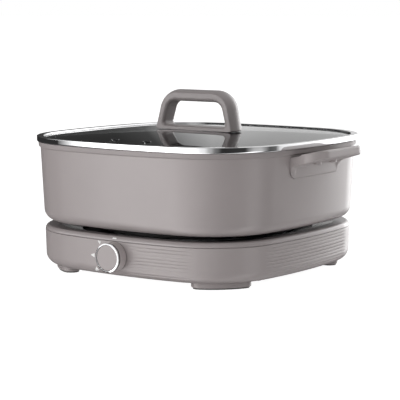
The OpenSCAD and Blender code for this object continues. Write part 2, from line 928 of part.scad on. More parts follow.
module pot_body() {
    fillet_c = [-pot_inset_low - pot_fillet, pot_arc_z];
    floor_z = pot_z + pot_floor;
    inner_r = pot_fillet / 2;
    inner_c = [-pot_inset_low - pot_wall - inner_r, floor_z + inner_r];
    edge = flange_out / 2;
    mouth = pot_wall_out(pot_top_z) - pot_wall;
    section = concat(
        arc(fillet_c, pot_fillet, -90, 0, 7),
        [
            [-pot_inset_top, flange_z - edge],
            [flange_out - edge, flange_z],
            [flange_out, flange_z + edge],
            [flange_out, pot_top_z - edge],
            [flange_out - edge, pot_top_z],
            [mouth, pot_top_z]
        ],
        arc(inner_c, inner_r, 0, -90, 6)
    );
    color(taupe)
        loft(concat(
            [
                disc(locator_r, plate_top_z),
                disc(locator_r, plate_top_z - locator_h),
                disc(locator_r + locator_w, plate_top_z - locator_h),
                disc(locator_r + locator_w, pot_z)
            ],
            [for (p = section) ring(p.x, p.y)]
        ));
}

// Side handles: a rising shelf with an end web at each side of the finger recess

grip_top_z = flange_z - grip_top_drop;
grip_low_z = grip_top_z - grip_back_h;
function wall_x(y, z) = bow_c + sqrt(pow(side_bow_r + pot_wall_out(z), 2) - y * y) + screw_fit;
grip_wall_x = wall_x(0, grip_top_z);
grip_out_x = grip_wall_x + grip_reach;
function shelf_z(x) = grip_top_z + grip_rise * (x - grip_wall_x) / grip_reach;

// Two points on a web's curved lower edge, as shares of its width and of its depth
web_edge = [[0.4, 0.1], [0.12, 0.5]];
web_side = 1;

// The section at one place along the handle, either through the recess or through a web
function grip_section(y, x_out, recess) = let (
    r = grip_edge_r,
    dy = max(0, abs(y) - grip_half + grip_low_r),
    low_z = grip_low_z + grip_low_r - sqrt(max(0, grip_low_r * grip_low_r - dy * dy)),
    back_x = wall_x(y, low_z) + grip_back_t,
    top = shelf_z(x_out),
    under = top - grip_band_h,
    root = shelf_z(back_x) - grip_band_h,
    root_x = back_x + grip_root_r,
    web_x = x_out - back_x,
    drop = root - low_z,
    points = concat(
        [[wall_x(y, grip_top_z), grip_top_z], [x_out - r, shelf_z(x_out - r)]],
        arc([x_out - r, top - r], r, 60, 0, 2),
        arc([x_out - r, under + r], r, 0, -90, 3),
        recess
            ? [[root_x, shelf_z(root_x) - grip_band_h], [back_x, root - grip_root_r]]
            : [for (share = web_edge) [back_x + share.x * web_x, root - share.y * drop]],
        [[back_x, low_z + grip_back_t], [wall_x(y, low_z), low_z]]
    )
) [for (p = points) [p.x, y, p.y]];

module grip() {
    straight = grip_half - grip_corner;
    web_y = grip_half - grip_web_t;
    corner_x = grip_out_x - grip_corner;
    round_y = [for (a = [90 : -15 : 0]) straight + grip_corner * sin(a)];
    outer = concat([for (y = round_y) if (y > web_y + web_side) y], [web_y + web_side]);
    inner = concat([web_y], [for (y = round_y) if (y < web_y - web_side) y], [straight / 2, 0]);
    half = concat([for (y = outer) [y, false]], [for (y = inner) [y, true]]);
    stations = concat(half, [for (i = [len(half) - 2 : -1 : 0]) [-half[i][0], half[i][1]]]);
    loft([
        for (s = stations)
        let (dy = max(0, abs(s[0]) - straight))
        grip_section(s[0], corner_x + sqrt(max(0, grip_corner * grip_corner - dy * dy)), s[1])
    ]);
}

tab_top_z = grip_top_z - tab_cover;
tab_z = tab_top_z - tab_t;
tab_wall_x = wall_x(0, tab_top_z) + fit;
tab_screw_x = tab_wall_x + tab_screw_out;
tab_seat_z = shelf_z(tab_screw_x + m4_head_r) - grip_band_h + screw_fit;

module at_tab_screws(z) {
    for (side = [-1, 1])
        translate([tab_screw_x, side * tab_screw_pitch / 2, z])
            children();
}

module tab(gap) {
    translate([tab_wall_x, -tab_w / 2 - gap, tab_z - gap])
        cube([tab_len + gap, tab_w + 2 * gap, tab_t + 2 * gap]);
}

module handle_right() {
    color(taupe)
        difference() {
            grip();
            translate([-grip_reach / 2, 0, 0])
                tab(screw_fit);
            tab(screw_fit);
            at_tab_screws(tab_seat_z)
                cylinder(r = m4_r + screw_fit, h = tab_top_z - tab_seat_z + tab_cover / 2);
            at_tab_screws(tab_seat_z - grip_back_h)
                cylinder(r = m4_head_r + fit, h = grip_back_h);
        }
}

module handle_left() {
    mirror([1, 0, 0])
        handle_right();
}

module handle_tab_right() {
    color(steel)
        difference() {
            tab(0);
            at_tab_screws(tab_z - eps)
                cylinder(r = m4_r + screw_fit, h = tab_t + 2 * eps);
        }
}

module handle_tab_left() {
    mirror([1, 0, 0])
        handle_tab_right();
}

module handle_screws() {
    color(steel)
        for (side = [0, 1])
            mirror([side, 0, 0])
                at_tab_screws(tab_seat_z)
                    screw(m4_r, tab_top_z - tab_seat_z, m4_head_r, m4_head_h);
}

// Lid

mouth_out = pot_wall_out(pot_top_z) - pot_wall;
plug_out = mouth_out - plug_gap;
band_in = rim_out - rim_band_t;
glass_out = band_in - fit;

module lid_rim() {
    ledge_z = glass_edge_z - glass_t - fit;
    section = [
        [plug_out, pot_top_z],
        [rim_out - rim_bevel, pot_top_z],
        [rim_out, pot_top_z + rim_bevel],
        [rim_out, rim_top_z - rim_bevel],
        [rim_out - rim_bevel, rim_top_z],
        [rim_out - rim_lip_w, rim_top_z],
        [rim_out - rim_lip_w, rim_top_z - rim_t],
        [band_in, rim_top_z - rim_t],
        [band_in, ledge_z],
        [plug_out - plug_t, ledge_z],
        [plug_out - plug_t, pot_top_z - plug_h],
        [plug_out, pot_top_z - plug_h]
    ];
    color(steel)
        outline_ring(section);
}

dome_half = plan_half + glass_out;
vent_y = plan_half - vent_inset;
function dome_z(x) = glass_edge_z + dome_rise * (1 - pow(x / dome_half, 2));
vent_tilt = atan(2 * dome_rise * vent_y / pow(dome_half, 2));
grab_screw_x = (grab_len - grab_leg_t - grab_foot_r) / 2;

module at_vents() {
    for (side = [-1, 1])
        translate([side * vent_x, -vent_y, dome_z(norm([vent_x, vent_y])) - glass_t / 2])
            rotate([vent_tilt, 0, 0])
                children();
}

module at_grab_screws(z) {
    for (side = [-1, 1])
        translate([side * grab_screw_x, 0, z])
            children();
}

module lid_glass() {
    shares = [1, 0.96, 0.9, 0.8, 0.68, 0.54, 0.38, 0.2];
    edge = outline(glass_out);
    top = [for (s = shares) level(s * edge, dome_z(s * dome_half))];
    under = [for (i = [len(top) - 1 : -1 : 0]) [for (p = top[i]) p - [0, 0, glass_t]]];
    color("#9AA0A2", 0.5)
        difference() {
            loft(concat(under, top));
            at_grab_screws(glass_edge_z - 2 * glass_t)
                cylinder(r = m4_r + fit, h = 4 * glass_t + dome_rise);
            at_vents()
                cylinder(r = vent_r + vent_wall + fit, h = 4 * glass_t, center = true);
        }
}

module vent_grommets() {
    gap = fit;
    reach = glass_t / 2 + gap;
    flange_r = vent_r + vent_wall + vent_flange_w;
    color(steel)
        at_vents()
            rotate_extrude()
                polygon([
                    [vent_r, -reach - vent_flange_t],
                    [flange_r, -reach - vent_flange_t],
                    [flange_r, -reach],
                    [vent_r + vent_wall, -reach],
                    [vent_r + vent_wall, reach],
                    [flange_r, reach],
                    [flange_r, reach + vent_flange_t],
                    [vent_r, reach + vent_flange_t]
                ]);
}

// Lid handle: a closed loop whose section runs from the opening's outline to the outer outline

// A rounded corner at point b, between its neighbours a and c
function corner(a, b, c, r, steps) = let (
    u = unit(a - b),
    v = unit(c - b),
    half = acos(u * v) / 2,
    centre = b + r / sin(half) * unit(u + v),
    start = b + r / tan(half) * u - centre,
    turn = 180 - 2 * half
) [for (i = [0 : steps]) centre + spun(start, turn * i / steps)];

function rounded(points, radii, steps) = [
    for (i = [0 : 3])
    each corner(points[(i + 3) % 4], points[i], points[(i + 1) % 4], radii[i], steps)
];

function grab_loop(half_foot, half_top, low, high, foot_r, top_r) = rounded(
    [[half_foot, low], [half_top, high], [-half_top, high], [-half_foot, low]],
    [foot_r, top_r, top_r, foot_r],
    6
);

module lid_handle() {
    outer = grab_loop(grab_len / 2, grab_top_len / 2, grab_z, grab_z + grab_h, grab_foot_r, grab_corner_r);
    inner = grab_loop(
        grab_len / 2 - grab_leg_t, grab_top_len / 2 - grab_leg_top_t,
        grab_z + grab_foot_t, grab_z + grab_h - grab_bar_t, grab_foot_r, grab_inner_r
    );
    half_y = grab_depth / 2;
    loops = [
        for (i = [0 : len(outer) - 1])
        let (
            span = norm(outer[i] - inner[i]),
            across = (outer[i] - inner[i]) / span,
            r = min(grab_edge_r, span / 2 - 0.2),
            section = concat(
                arc([span - r, half_y - r], r, 0, 90, 3),
                arc([r, half_y - r], r, 90, 180, 3),
                arc([r, r - half_y], r, 180, 270, 3),
                arc([span - r, r - half_y], r, 270, 360, 3)
            )
        )
        [for (s = section) let (p = inner[i] + s.x * across) [p.x, s.y, p.y]]
    ];
    color(taupe)
        difference() {
            loft(loops, joined = true);
            at_grab_screws(grab_z - eps)
                cylinder(r = m4_r + screw_fit, h = grab_hole_depth);
        }
}

washer_top_z = dome_z(grab_screw_x + washer_r) - glass_t - screw_fit;

module lid_handle_washers() {
    color("#4A4A4A")
        at_grab_screws(washer_top_z - washer_t)
            difference() {
                cylinder(r = washer_r, h = washer_t);
                translate([0, 0, -eps])
                    cylinder(r = m4_r + screw_fit, h = washer_t + 2 * eps);
            }
}

module lid_handle_screws() {
    length = grab_z + grab_hole_depth - screw_spare - washer_top_z + washer_t;
    color(steel)
        at_grab_screws(washer_top_z - washer_t)
            screw(m4_r, length, m4_head_r, m4_head_h);
}

base_shell();
top_ring();
bottom_cover();
drip_tray();
cover_screws();
foot(3);  // foot_front_right
foot(0);  // foot_rear_right
foot(1);  // foot_rear_left
foot(2);  // foot_front_left
pad(3);  // pad_front_right
pad(0);  // pad_rear_right
pad(1);  // pad_rear_left
pad(2);  // pad_front_left
heating_plate();
heating_element();
plate_posts();
plate_screws();
thermostat();
thermal_fuse();
heat_switch();
switch_nut();
power_inlet();
inlet_pins();
wire_live();
wire_heater();
wire_neutral();
wire_fuse();
wire_earth();
switch_shaft();
knob_body();
knob_ring();
knob_cap();
pot_body();
handle_right();
handle_left();
handle_tab_right();
handle_tab_left();
handle_screws();
lid_rim();
lid_glass();
lid_handle();
lid_handle_screws();
lid_handle_washers();
vent_grommets();
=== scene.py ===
"""Studio scene of an electric hot pot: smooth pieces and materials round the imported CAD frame."""
import math

import bmesh
import bpy
from mathutils import Matrix, Vector


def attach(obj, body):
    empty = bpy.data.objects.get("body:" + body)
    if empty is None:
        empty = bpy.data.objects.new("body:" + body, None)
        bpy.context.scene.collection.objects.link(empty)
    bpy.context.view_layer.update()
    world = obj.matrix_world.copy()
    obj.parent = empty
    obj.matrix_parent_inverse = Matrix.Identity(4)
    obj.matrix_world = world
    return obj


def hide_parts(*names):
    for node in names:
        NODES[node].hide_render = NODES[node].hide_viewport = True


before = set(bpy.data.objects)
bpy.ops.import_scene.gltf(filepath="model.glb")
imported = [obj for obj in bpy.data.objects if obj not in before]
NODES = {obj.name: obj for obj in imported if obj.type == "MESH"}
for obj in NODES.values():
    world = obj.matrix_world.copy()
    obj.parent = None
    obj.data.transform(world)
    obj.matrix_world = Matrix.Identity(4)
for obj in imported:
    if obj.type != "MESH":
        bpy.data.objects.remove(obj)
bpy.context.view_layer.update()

MM = 0.001

# Sizes in millimetres, as in the part's source. An inset is measured inwards from the plan outline

FIT = 0.3
PLAN_HALF, CORNER_R, SIDE_BOW_R = 140.0, 82.0, 523.0
BASE_Z, SEAM_Z, CREST_Z, DISH_Z, TRAY_Z = 6.3, 40.5, 45.2, 40.0, 38.2
BASE_INSET_TOP, BASE_INSET_LOW, BASE_FILLET, BASE_WALL, BASE_FLANGE_W = 5.4, 6.0, 11.0, 2.5, 2.0
KNOB_Z, KNOB_R, KNOB_LEN, KNOB_GAP, KNOB_RING_LEN = 26.4, 13.9, 12.4, 0.8, 2.6
INLET_Z, INLET_W, INLET_H, INLET_OUT, INLET_DEPTH = 23.4, 34.0, 25.0, 9.2, 24.0
POT_Z, FLANGE_Z, POT_TOP_Z, FLANGE_OUT = 49.8, 122.5, 127.5, 0.8
POT_INSET_LOW, POT_INSET_TOP, POT_FILLET, POT_WALL, POT_FLOOR = 4.4, 1.3, 11.4, 3.0, 3.6
GLASS_T, GLASS_EDGE_T, GLASS_EDGE_Z, GLASS_TOP_Z = 3.6, 2.1, 131.1, 137.1


# Plan outline: bowed sides and round corners, picked by the angle of the outline's normal

# Quarters run anticlockwise from the right, each with a side and the corner after it
REAR_SIDE, LEFT_SIDE, FRONT_SIDE = 1, 2, 3
SIDE_STEPS, CORNER_STEPS = 24, 36
QUARTER_TURN = math.pi / 2
BOW_C = PLAN_HALF - SIDE_BOW_R
CORNER_C = (BOW_C + math.sqrt(2 * (SIDE_BOW_R - CORNER_R) ** 2 - BOW_C ** 2)) / 2
SIDE_ANGLE = math.atan2(CORNER_C, CORNER_C - BOW_C)
CORNER_ANGLE = QUARTER_TURN - 2 * SIDE_ANGLE
ANGLE_SLACK = 1e-9
QUARTER = [SIDE_ANGLE * (2 * i / SIDE_STEPS - 1) for i in range(SIDE_STEPS)]
QUARTER += [SIDE_ANGLE + CORNER_ANGLE * i / CORNER_STEPS for i in range(CORNER_STEPS)]
NORMALS = [(q, a) for q in range(4) for a in QUARTER]


def quarter_point(a, out):
    """The first quarter's point whose normal is at angle a, moved out along that normal."""
    if a < SIDE_ANGLE - ANGLE_SLACK:
        centre, r = Vector((BOW_C, 0)), SIDE_BOW_R
    else:
        centre, r = Vector((CORNER_C, CORNER_C)), CORNER_R
    return centre + (r + out) * Vector((math.cos(a), math.sin(a)))


def in_quarter(p, q):
    """A plan point turned by q quarter turns."""
    return [(p.x, p.y), (-p.y, p.x), (-p.x, -p.y), (p.y, -p.x)][q]


def ring(out, z):
    """The outline at a height, moved out."""
    return [(*in_quarter(quarter_point(a, out), q), z) for q, a in NORMALS]


def disc(r, z):
    """A circle with as many points as the outline."""
    turns = [a + q * QUARTER_TURN for q, a in NORMALS]
    return [(r * math.cos(t), r * math.sin(t), z) for t in turns]


# Lines in a plane

CORNER_ROOM = 0.49


def arc(cx, cy, r, start, end, steps):
    angles = [math.radians(start + (end - start) * i / steps) for i in range(steps + 1)]
    return [(cx + r * math.cos(a), cy + r * math.sin(a)) for a in angles]


def rounded(points, closed=True, steps=5):
    """A polyline whose corners (x, y, radius) are rounded."""
    made = []
    n = len(points)
    for i, p in enumerate(points):
        r = p[2] if len(p) > 2 else 0.0
        if r <= 0 or (not closed and i in (0, n - 1)):
            made.append((p[0], p[1]))
            continue
        b = Vector(p[:2])
        u, v = Vector(points[i - 1][:2]) - b, Vector(points[(i + 1) % n][:2]) - b
        room = CORNER_ROOM * min(u.length, v.length)
        u.normalize()
        v.normalize()
        half = math.acos(max(-1.0, min(1.0, u.dot(v)))) / 2
        reach = min(r / math.tan(half), room)
        r = reach * math.tan(half)
        c = b + (u + v).normalized() * (r / math.sin(half))
        first, last = b + u * reach - c, b + v * reach - c
        a0 = math.atan2(first.y, first.x)
        turn = (math.atan2(last.y, last.x) - a0 + math.pi) % (2 * math.pi) - math.pi
        angles = [a0 + turn * k / steps for k in range(steps + 1)]
        made += [(c.x + r * math.cos(a), c.y + r * math.sin(a)) for a in angles]
    return made


def between(p, q, t):
    return tuple(a + (b - a) * t for a, b in zip(p, q))


def bezier(a, b, c, steps):
    made = []
    for t in [i / steps for i in range(steps + 1)]:
        weights = (1 - t) ** 2, 2 * t * (1 - t), t * t
        made.append(tuple(sum(w * x for w, x in zip(weights, spot)) for spot in zip(a, b, c)))
    return made


def smoothstep(low, high, x):
    t = max(0.0, min(1.0, (x - low) / (high - low)))
    return t * t * (3 - 2 * t)


# Pieces

def piece(name, points, faces, materials, face_slots=None, weighted=True):
    """A smooth mesh object from points in millimetres."""
    mesh = bpy.data.meshes.new(name)
    mesh.from_pydata([Vector(p) * MM for p in points], [], faces)
    for m in materials:
        mesh.materials.append(m)
    if face_slots:
        mesh.polygons.foreach_set("material_index", face_slots)
    bm = bmesh.new()
    bm.from_mesh(mesh)
    bmesh.ops.recalc_face_normals(bm, faces=bm.faces)
    bm.to_mesh(mesh)
    bm.free()
    mesh.polygons.foreach_set("use_smooth", [True] * len(mesh.polygons))
    obj = bpy.data.objects.new(name, mesh)
    bpy.context.scene.collection.objects.link(obj)
    if weighted:
        obj.modifiers.new("weighted normals", "WEIGHTED_NORMAL").keep_sharp = True
    return obj


def loft(name, rows, materials, joined=False, slots=None, weighted=True):
    """A skin through closed rows, with end caps unless the last row joins the first. Slots are by row."""
    n, m = len(rows[0]), len(rows)
    slots = slots or [0] * m
    faces, picks = [], []
    for i in range(m if joined else m - 1):
        low, high = i * n, (i + 1) % m * n
        for j in range(n):
            k = (j + 1) % n
            faces.append((low + j, low + k, high + k, high + j))
            picks.append(slots[i])
    if not joined:
        faces += [tuple(range(n)), tuple(range((m - 1) * n, m * n))]
        picks += [slots[0], slots[-1]]
    points = [p for row in rows for p in row]
    return piece(name, points, faces, materials, picks, weighted)


def outline_ring(name, section, materials):
    return loft(name, [ring(*p) for p in section], materials, joined=True)


def lathe(name, profile, materials, place, closed=False, steps=96, slots=None):
    """A turned piece: profile points are (radius, height) along the axis that place gives."""
    turns = [2 * math.pi * k / steps for k in range(steps)]
    rows = []
    for r, t in profile:
        rows.append([place @ Vector((r * math.cos(a), r * math.sin(a), t)) for a in turns])
    return loft(name, rows, materials, joined=closed, slots=slots)


def cut(obj, *cutters):
    """Cuts solids out of a piece and keeps the result as its mesh."""
    for c in cutters:
        m = obj.modifiers.new("cut", "BOOLEAN")
        m.operation, m.solver, m.object = "DIFFERENCE", "EXACT", c
    bpy.context.view_layer.update()
    made = bpy.data.meshes.new_from_object(obj.evaluated_get(bpy.context.evaluated_depsgraph_get()))
    obj.modifiers.clear()
    old, obj.data = obj.data, made
    bpy.data.meshes.remove(old)
    for c in cutters:
        bpy.data.objects.remove(c)


def sharpen(obj, degrees):
    """Marks edges that turn by more than an angle as sharp."""
    obj.data.set_sharp_from_angle(angle=math.radians(degrees))


def put(obj, body, slot, *nodes):
    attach(obj, body)
    if nodes:
        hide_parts(*nodes)
    return obj


# Materials

NOISE_LOW, NOISE_HIGH = 0.3, 0.7
BLOTCH, GLOSS_BLOTCH = 25.0, 57.0


def material(name):
    m = bpy.data.materials.new(name)
    m.use_nodes = True
    return m, m.node_tree, m.node_tree.nodes["Principled BSDF"]


def link(tree, a, b):
    tree.links.new(a, b)


def texture(tree, kind, **values):
    """A texture node in the piece's own frame."""
    where = tree.nodes.new("ShaderNodeTexCoord")
    node = tree.nodes.new("ShaderNodeTex" + kind)
    for name, value in values.items():
        node.inputs[name].default_value = value
    link(tree, where.outputs["Object"], node.inputs["Vector"])
    return node


def noise(tree, scale, detail):
    return texture(tree, "Noise", Scale=scale, Detail=detail).outputs["Fac"]


def ramp(tree, value, stops, socket, mode="LINEAR"):
    """A colour ramp from value to a socket. A stop is (place, colour or grey)."""
    r = tree.nodes.new("ShaderNodeValToRGB")
    r.color_ramp.interpolation = mode
    e = r.color_ramp.elements
    while len(e) < len(stops):
        e.new(0.5)
    for spot, (place, c) in zip(e, stops):
        spot.position = place
        spot.color = (*c, 1) if isinstance(c, tuple) else (c, c, c, 1)
    link(tree, value, r.inputs["Fac"])
    link(tree, r.outputs["Color"], socket)


def span(tree, value, low, high, socket, start=NOISE_LOW, end=NOISE_HIGH):
    """Maps a value, noise unless start and end are given, to a range of a socket."""
    r = tree.nodes.new("ShaderNodeMapRange")
    for name, x in zip(("From Min", "From Max", "To Min", "To Max"), (start, end, low, high)):
        r.inputs[name].default_value = x
    link(tree, value, r.inputs["Value"])
    link(tree, r.outputs["Result"], socket)


def bump(tree, value, shader, distance):
    b = tree.nodes.new("ShaderNodeBump")
    b.inputs["Distance"].default_value = distance
    b.inputs["Strength"].default_value = 1.0
    link(tree, value, b.inputs["Height"])
    link(tree, b.outputs["Normal"], shader.inputs["Normal"])


def tone(c, k):
    return tuple(min(1.0, x * k) for x in c)


def blotches(tree, shader, value, colour, low, high):
    """Base colour that wanders between two tones of a colour."""
    stops = [(NOISE_LOW, tone(colour, low)), (NOISE_HIGH, tone(colour, high))]
    ramp(tree, value, stops, shader.inputs["Base Color"])


def plain(name, colour, rough, metal=0.0, vary=0.06, grain=700.0, relief=0.00002, gloss_vary=0.1):
    """A surface with soft blotches of colour, uneven gloss and a fine grain."""
    m, tree, shader = material(name)
    shader.inputs["Metallic"].default_value = metal
    blotches(tree, shader, noise(tree, BLOTCH, 3.0), colour, 1 - vary, 1 + vary)
    low, high = rough * (1 - gloss_vary), rough * (1 + gloss_vary)
    span(tree, noise(tree, GLOSS_BLOTCH, 4.0), low, high, shader.inputs["Roughness"])
    bump(tree, noise(tree, grain, 2.0), shader, relief)
    return m


def turned(name, colour, rough):
    """Turned metal: fine rings round the vertical axis."""
    m, tree, shader = material(name)
    shader.inputs["Metallic"].default_value = 1.0
    wave = texture(tree, "Wave", Scale=260.0, Distortion=1.5, Detail=2.0)
    wave.wave_type, wave.rings_direction = "RINGS", "Z"
    blotches(tree, shader, noise(tree, 30.0, 3.0), colour, 0.88, 1.08)
    span(tree, wave.outputs["Fac"], rough * 0.8, rough * 1.2, shader.inputs["Roughness"], 0.0, 1.0)
    bump(tree, wave.outputs["Fac"], shader, 0.00002)
    return m


def speckled(name, ground, speck):
    """A hard non-stick coat with fine light specks."""
    m, tree, shader = material(name)
    cells = texture(tree, "Voronoi", Scale=420.0)
    stops = [(0.12, speck), (0.22, ground), (0.8, tone(ground, 0.85))]
    ramp(tree, cells.outputs["Distance"], stops, shader.inputs["Base Color"])
    span(tree, noise(tree, 60.0, 3.0), 0.32, 0.42, shader.inputs["Roughness"])
    bump(tree, noise(tree, 800.0, 2.0), shader, 0.00002)
    return m


def clear_glass(name, colour):
    m, tree, shader = material(name)
    shader.inputs["Transmission Weight"].default_value = 1.0
    shader.inputs["IOR"].default_value = 1.5
    blotches(tree, shader, noise(tree, 8.0, 2.0), colour, 0.99, 1.01)
    span(tree, noise(tree, 22.0, 4.0), 0.0, 0.012, shader.inputs["Roughness"])
    return m


TAUPE = (0.345, 0.309, 0.308)
MOULDED = {"vary": 0.02, "grain": 1800.0, "relief": 0.000012}
POLISHED = {"metal": 1.0, "vary": 0.02, "relief": 0.000002}
SPRAYED = {"vary": 0.02, "grain": 900.0, "relief": 0.000010, "gloss_vary": 0.04}
SILICONE = {"rough": 0.55, "vary": 0.1}
plastic = plain("taupe plastic", TAUPE, 0.36, gloss_vary=0.03, **MOULDED)
base_plastic = plain("taupe base plastic", tone(TAUPE, 1.03), 0.34, gloss_vary=0.04, **MOULDED)
ring_plastic = plain("taupe ring plastic", TAUPE, 0.17, gloss_vary=0.02, **MOULDED)
coat = plain("taupe pot coat", TAUPE, 0.31, **SPRAYED)
# The lip's coat is a darker copy of the wall's: painted shade under the lid rim's overhang.
lip_coat_painted_shade = plain("lip coat darkened as rim shade", tone(TAUPE, 0.86), 0.5, **SPRAYED)
# The knob's body is lighter than its cap: painted light on its side, which the lamps leave darker.
knob_plastic_painted_light = plain("knob body plastic lightened as side light", tone(TAUPE, 1.5), 0.33, **MOULDED)
# The lid handle's plastic is a darker copy of the taupe: painted shade.
grab_plastic_painted_shade = plain("lid handle plastic darkened as shade", tone(TAUPE, 0.82), 0.36, gloss_vary=0.03, **MOULDED)
foot_plastic = plain("foot plastic", tone(TAUPE, 0.92), 0.45, vary=0.03, grain=1800.0)
black = plain("matt black coat", (0.012, 0.0115, 0.011), 0.5, vary=0.2, grain=1200.0, relief=0.00003)
black_plastic = plain("black plastic", (0.02, 0.02, 0.02), 0.42, vary=0.15, grain=1600.0, relief=0.00003)
rubber = plain("foot rubber", (0.08, 0.077, 0.073), 0.75, vary=0.12, grain=1500.0, relief=0.00005)
rim_steel = plain("polished rim steel", (0.83, 0.83, 0.84), 0.06, grain=500.0, **POLISHED)
# The vents' steel is nearly black: a painted dark reflection.
vent_steel_painted_dark = plain("vent steel darkened as a dark reflection", (0.06, 0.06, 0.062), 0.25, 1.0, grain=800.0, relief=0.00001)
chrome = plain("knob chrome", (0.86, 0.86, 0.87), 0.05, grain=600.0, **POLISHED)
zinc = plain("zinc plate", (0.58, 0.58, 0.59), 0.3, 1.0, vary=0.08, grain=900.0)
# The screw heads are painted taupe, and lighter than the handle around them: painted light against the shade
# in their counterbores.
screw_paint_with_painted_light = plain("taupe screw heads lightened against shade", tone(TAUPE, 1.15), 0.4, grain=900.0)
sheath = plain("element sheath", (0.16, 0.15, 0.14), 0.5, 0.8, vary=0.25, relief=0.00003)
brass = plain("nickel brass", (0.66, 0.58, 0.40), 0.25, 1.0, vary=0.08, grain=900.0, relief=0.00001)
ceramic = plain("glazed ceramic", (0.72, 0.69, 0.62), 0.25, vary=0.05, grain=500.0, relief=0.00001)
wire_brown = plain("brown silicone", (0.16, 0.065, 0.03), **SILICONE)
wire_blue = plain("blue silicone", (0.04, 0.09, 0.21), **SILICONE)
wire_green = plain("green silicone", (0.16, 0.24, 0.05), **SILICONE)
mark_white = plain("white print", (0.86, 0.86, 0.85), 0.5, vary=0.02, grain=2500.0, relief=0.00001)
aluminium = turned("turned aluminium", (0.44, 0.44, 0.45), 0.34)
contact = turned("turned contact face", (0.50, 0.50, 0.51), 0.3)
nonstick = speckled("non-stick coat", (0.035, 0.034, 0.033), (0.12, 0.118, 0.115))
glass = clear_glass("lid glass", (0.80, 0.82, 0.82))


# Camera at the photograph's viewing angle, in metres

CAM_AT = Vector((0.8861, -1.2317, 0.2565))
CAM_AZIMUTH, CAM_DOWN = math.radians(35.68), math.radians(7.155)
CAM_LENS, CAM_SENSOR, CAM_FAR = 136.53, 36.0, 100.0
camera = bpy.data.objects.new("camera", bpy.data.cameras.new("camera"))
bpy.context.scene.collection.objects.link(camera)
camera.data.lens, camera.data.sensor_width = CAM_LENS, CAM_SENSOR
camera.data.clip_end = CAM_FAR
camera.location = CAM_AT
level_look = math.cos(CAM_DOWN)
look = Vector((
    -math.sin(CAM_AZIMUTH) * level_look, math.cos(CAM_AZIMUTH) * level_look, -math.sin(CAM_DOWN)))
camera.rotation_euler = look.to_track_quat("-Z", "Y").to_euler()
bpy.context.scene.camera = camera


# Base shell, with fine level ribs. The photograph shows none left of the knob

FILLET_OUT, FILLET_Z = -BASE_INSET_LOW - BASE_FILLET, BASE_Z + BASE_FILLET
FILLET_ROWS, WALL_ROWS = 30, 58
BASE_EDGE_R = 0.7
RIB_LOW_Z, RIB_PITCH, RIB_COUNT, RIB_DEPTH, RIB_HALF_W = 11.5, 3.2, 9, 0.46, 0.4
RIB_CLEAR, RIB_FADE = {REAR_SIDE: 23.0, FRONT_SIDE: 15.6}, 3.0
# Share of the depth on a face, and the turns into the corner where its ribs begin and end to fade
FACE_END, SIDE_END = (1.0, 0.17, 0.28), (1.35, 0.0, 0.12)


def wall_out(z):
    """Distance of the base wall outside the outline at a height."""
    if z < FILLET_Z:
        return FILLET_OUT + math.sqrt(BASE_FILLET ** 2 - (FILLET_Z - z) ** 2)
    return -BASE_INSET_LOW + (BASE_INSET_LOW - BASE_INSET_TOP) * (z - FILLET_Z) / (SEAM_Z - FILLET_Z)


def faded(end, turn):
    depth, first, last = end
    return depth * (1 - smoothstep(first, last, turn))


def rib_strength(q, a):
    """Depth of the ribs: none left of the knob or close to knob and inlet, fading round the corners."""
    if a >= SIDE_ANGLE:
        turn = a - SIDE_ANGLE
        first, last = (FACE_END, SIDE_END) if q in RIB_CLEAR else (SIDE_END, FACE_END)
        before, after = faded(first, turn), faded(last, CORNER_ANGLE - turn)
        return before if q == LEFT_SIDE else max(before, after)
    if q not in RIB_CLEAR:
        return SIDE_END[0]
    y = quarter_point(a, 0).y
    if q == FRONT_SIDE and y < 0:
        return 0.0
    return smoothstep(RIB_CLEAR[q], RIB_CLEAR[q] + RIB_FADE, abs(y))


STRENGTH = [rib_strength(q, a) for q, a in NORMALS]


def rib_groove(z):
    return sum(math.exp(-((z - RIB_LOW_Z - RIB_PITCH * i) / RIB_HALF_W) ** 2) for i in range(RIB_COUNT))


def ribbed_ring(out, z, way_out, way_up):
    """The outline at a height, let in against the wall's normal where a groove runs."""
    d = RIB_DEPTH * rib_groove(z)
    row = []
    for (q, a), s in zip(NORMALS, STRENGTH):
        p = quarter_point(a, out - d * way_out * s)
        row.append((*in_quarter(p, q), z - d * way_up * s))
    return row


def base_rows():
    rows = [ring(FILLET_OUT - BASE_FLANGE_W, BASE_Z), ring(FILLET_OUT, BASE_Z)]
    for x, z in arc(0, 0, 1, -90, 0, FILLET_ROWS)[1:]:
        rows.append(ribbed_ring(FILLET_OUT + BASE_FILLET * x, FILLET_Z + BASE_FILLET * z, x, z))
    top = SEAM_Z - BASE_EDGE_R
    for t in [i / WALL_ROWS for i in range(1, WALL_ROWS + 1)]:
        out = -BASE_INSET_LOW + (BASE_INSET_LOW - BASE_INSET_TOP) * t
        rows.append(ribbed_ring(out, FILLET_Z + (top - FILLET_Z) * t, 1.0, 0.0))
    inside = arc(-BASE_INSET_TOP - BASE_EDGE_R, top, BASE_EDGE_R, 15, 90, 5)
    inside += [(-BASE_INSET_TOP - BASE_WALL, SEAM_Z)]
    inside += arc(FILLET_OUT, FILLET_Z, BASE_FILLET - BASE_WALL, 0, -90, 8)
    inside += [(FILLET_OUT - BASE_FLANGE_W, BASE_Z + BASE_WALL)]
    return rows + [ring(x, z) for x, z in inside]


def opening(half_w, half_h, mid_z, y0, y1):
    """A box that cuts an opening through the shell's wall."""
    base = [(-half_w, y0), (half_w, y0), (half_w, y1), (-half_w, y1)]
    rows = [[(*p, z) for p in base] for z in (mid_z - half_h, mid_z + half_h)]
    return loft("cutter", rows, [], weighted=False)


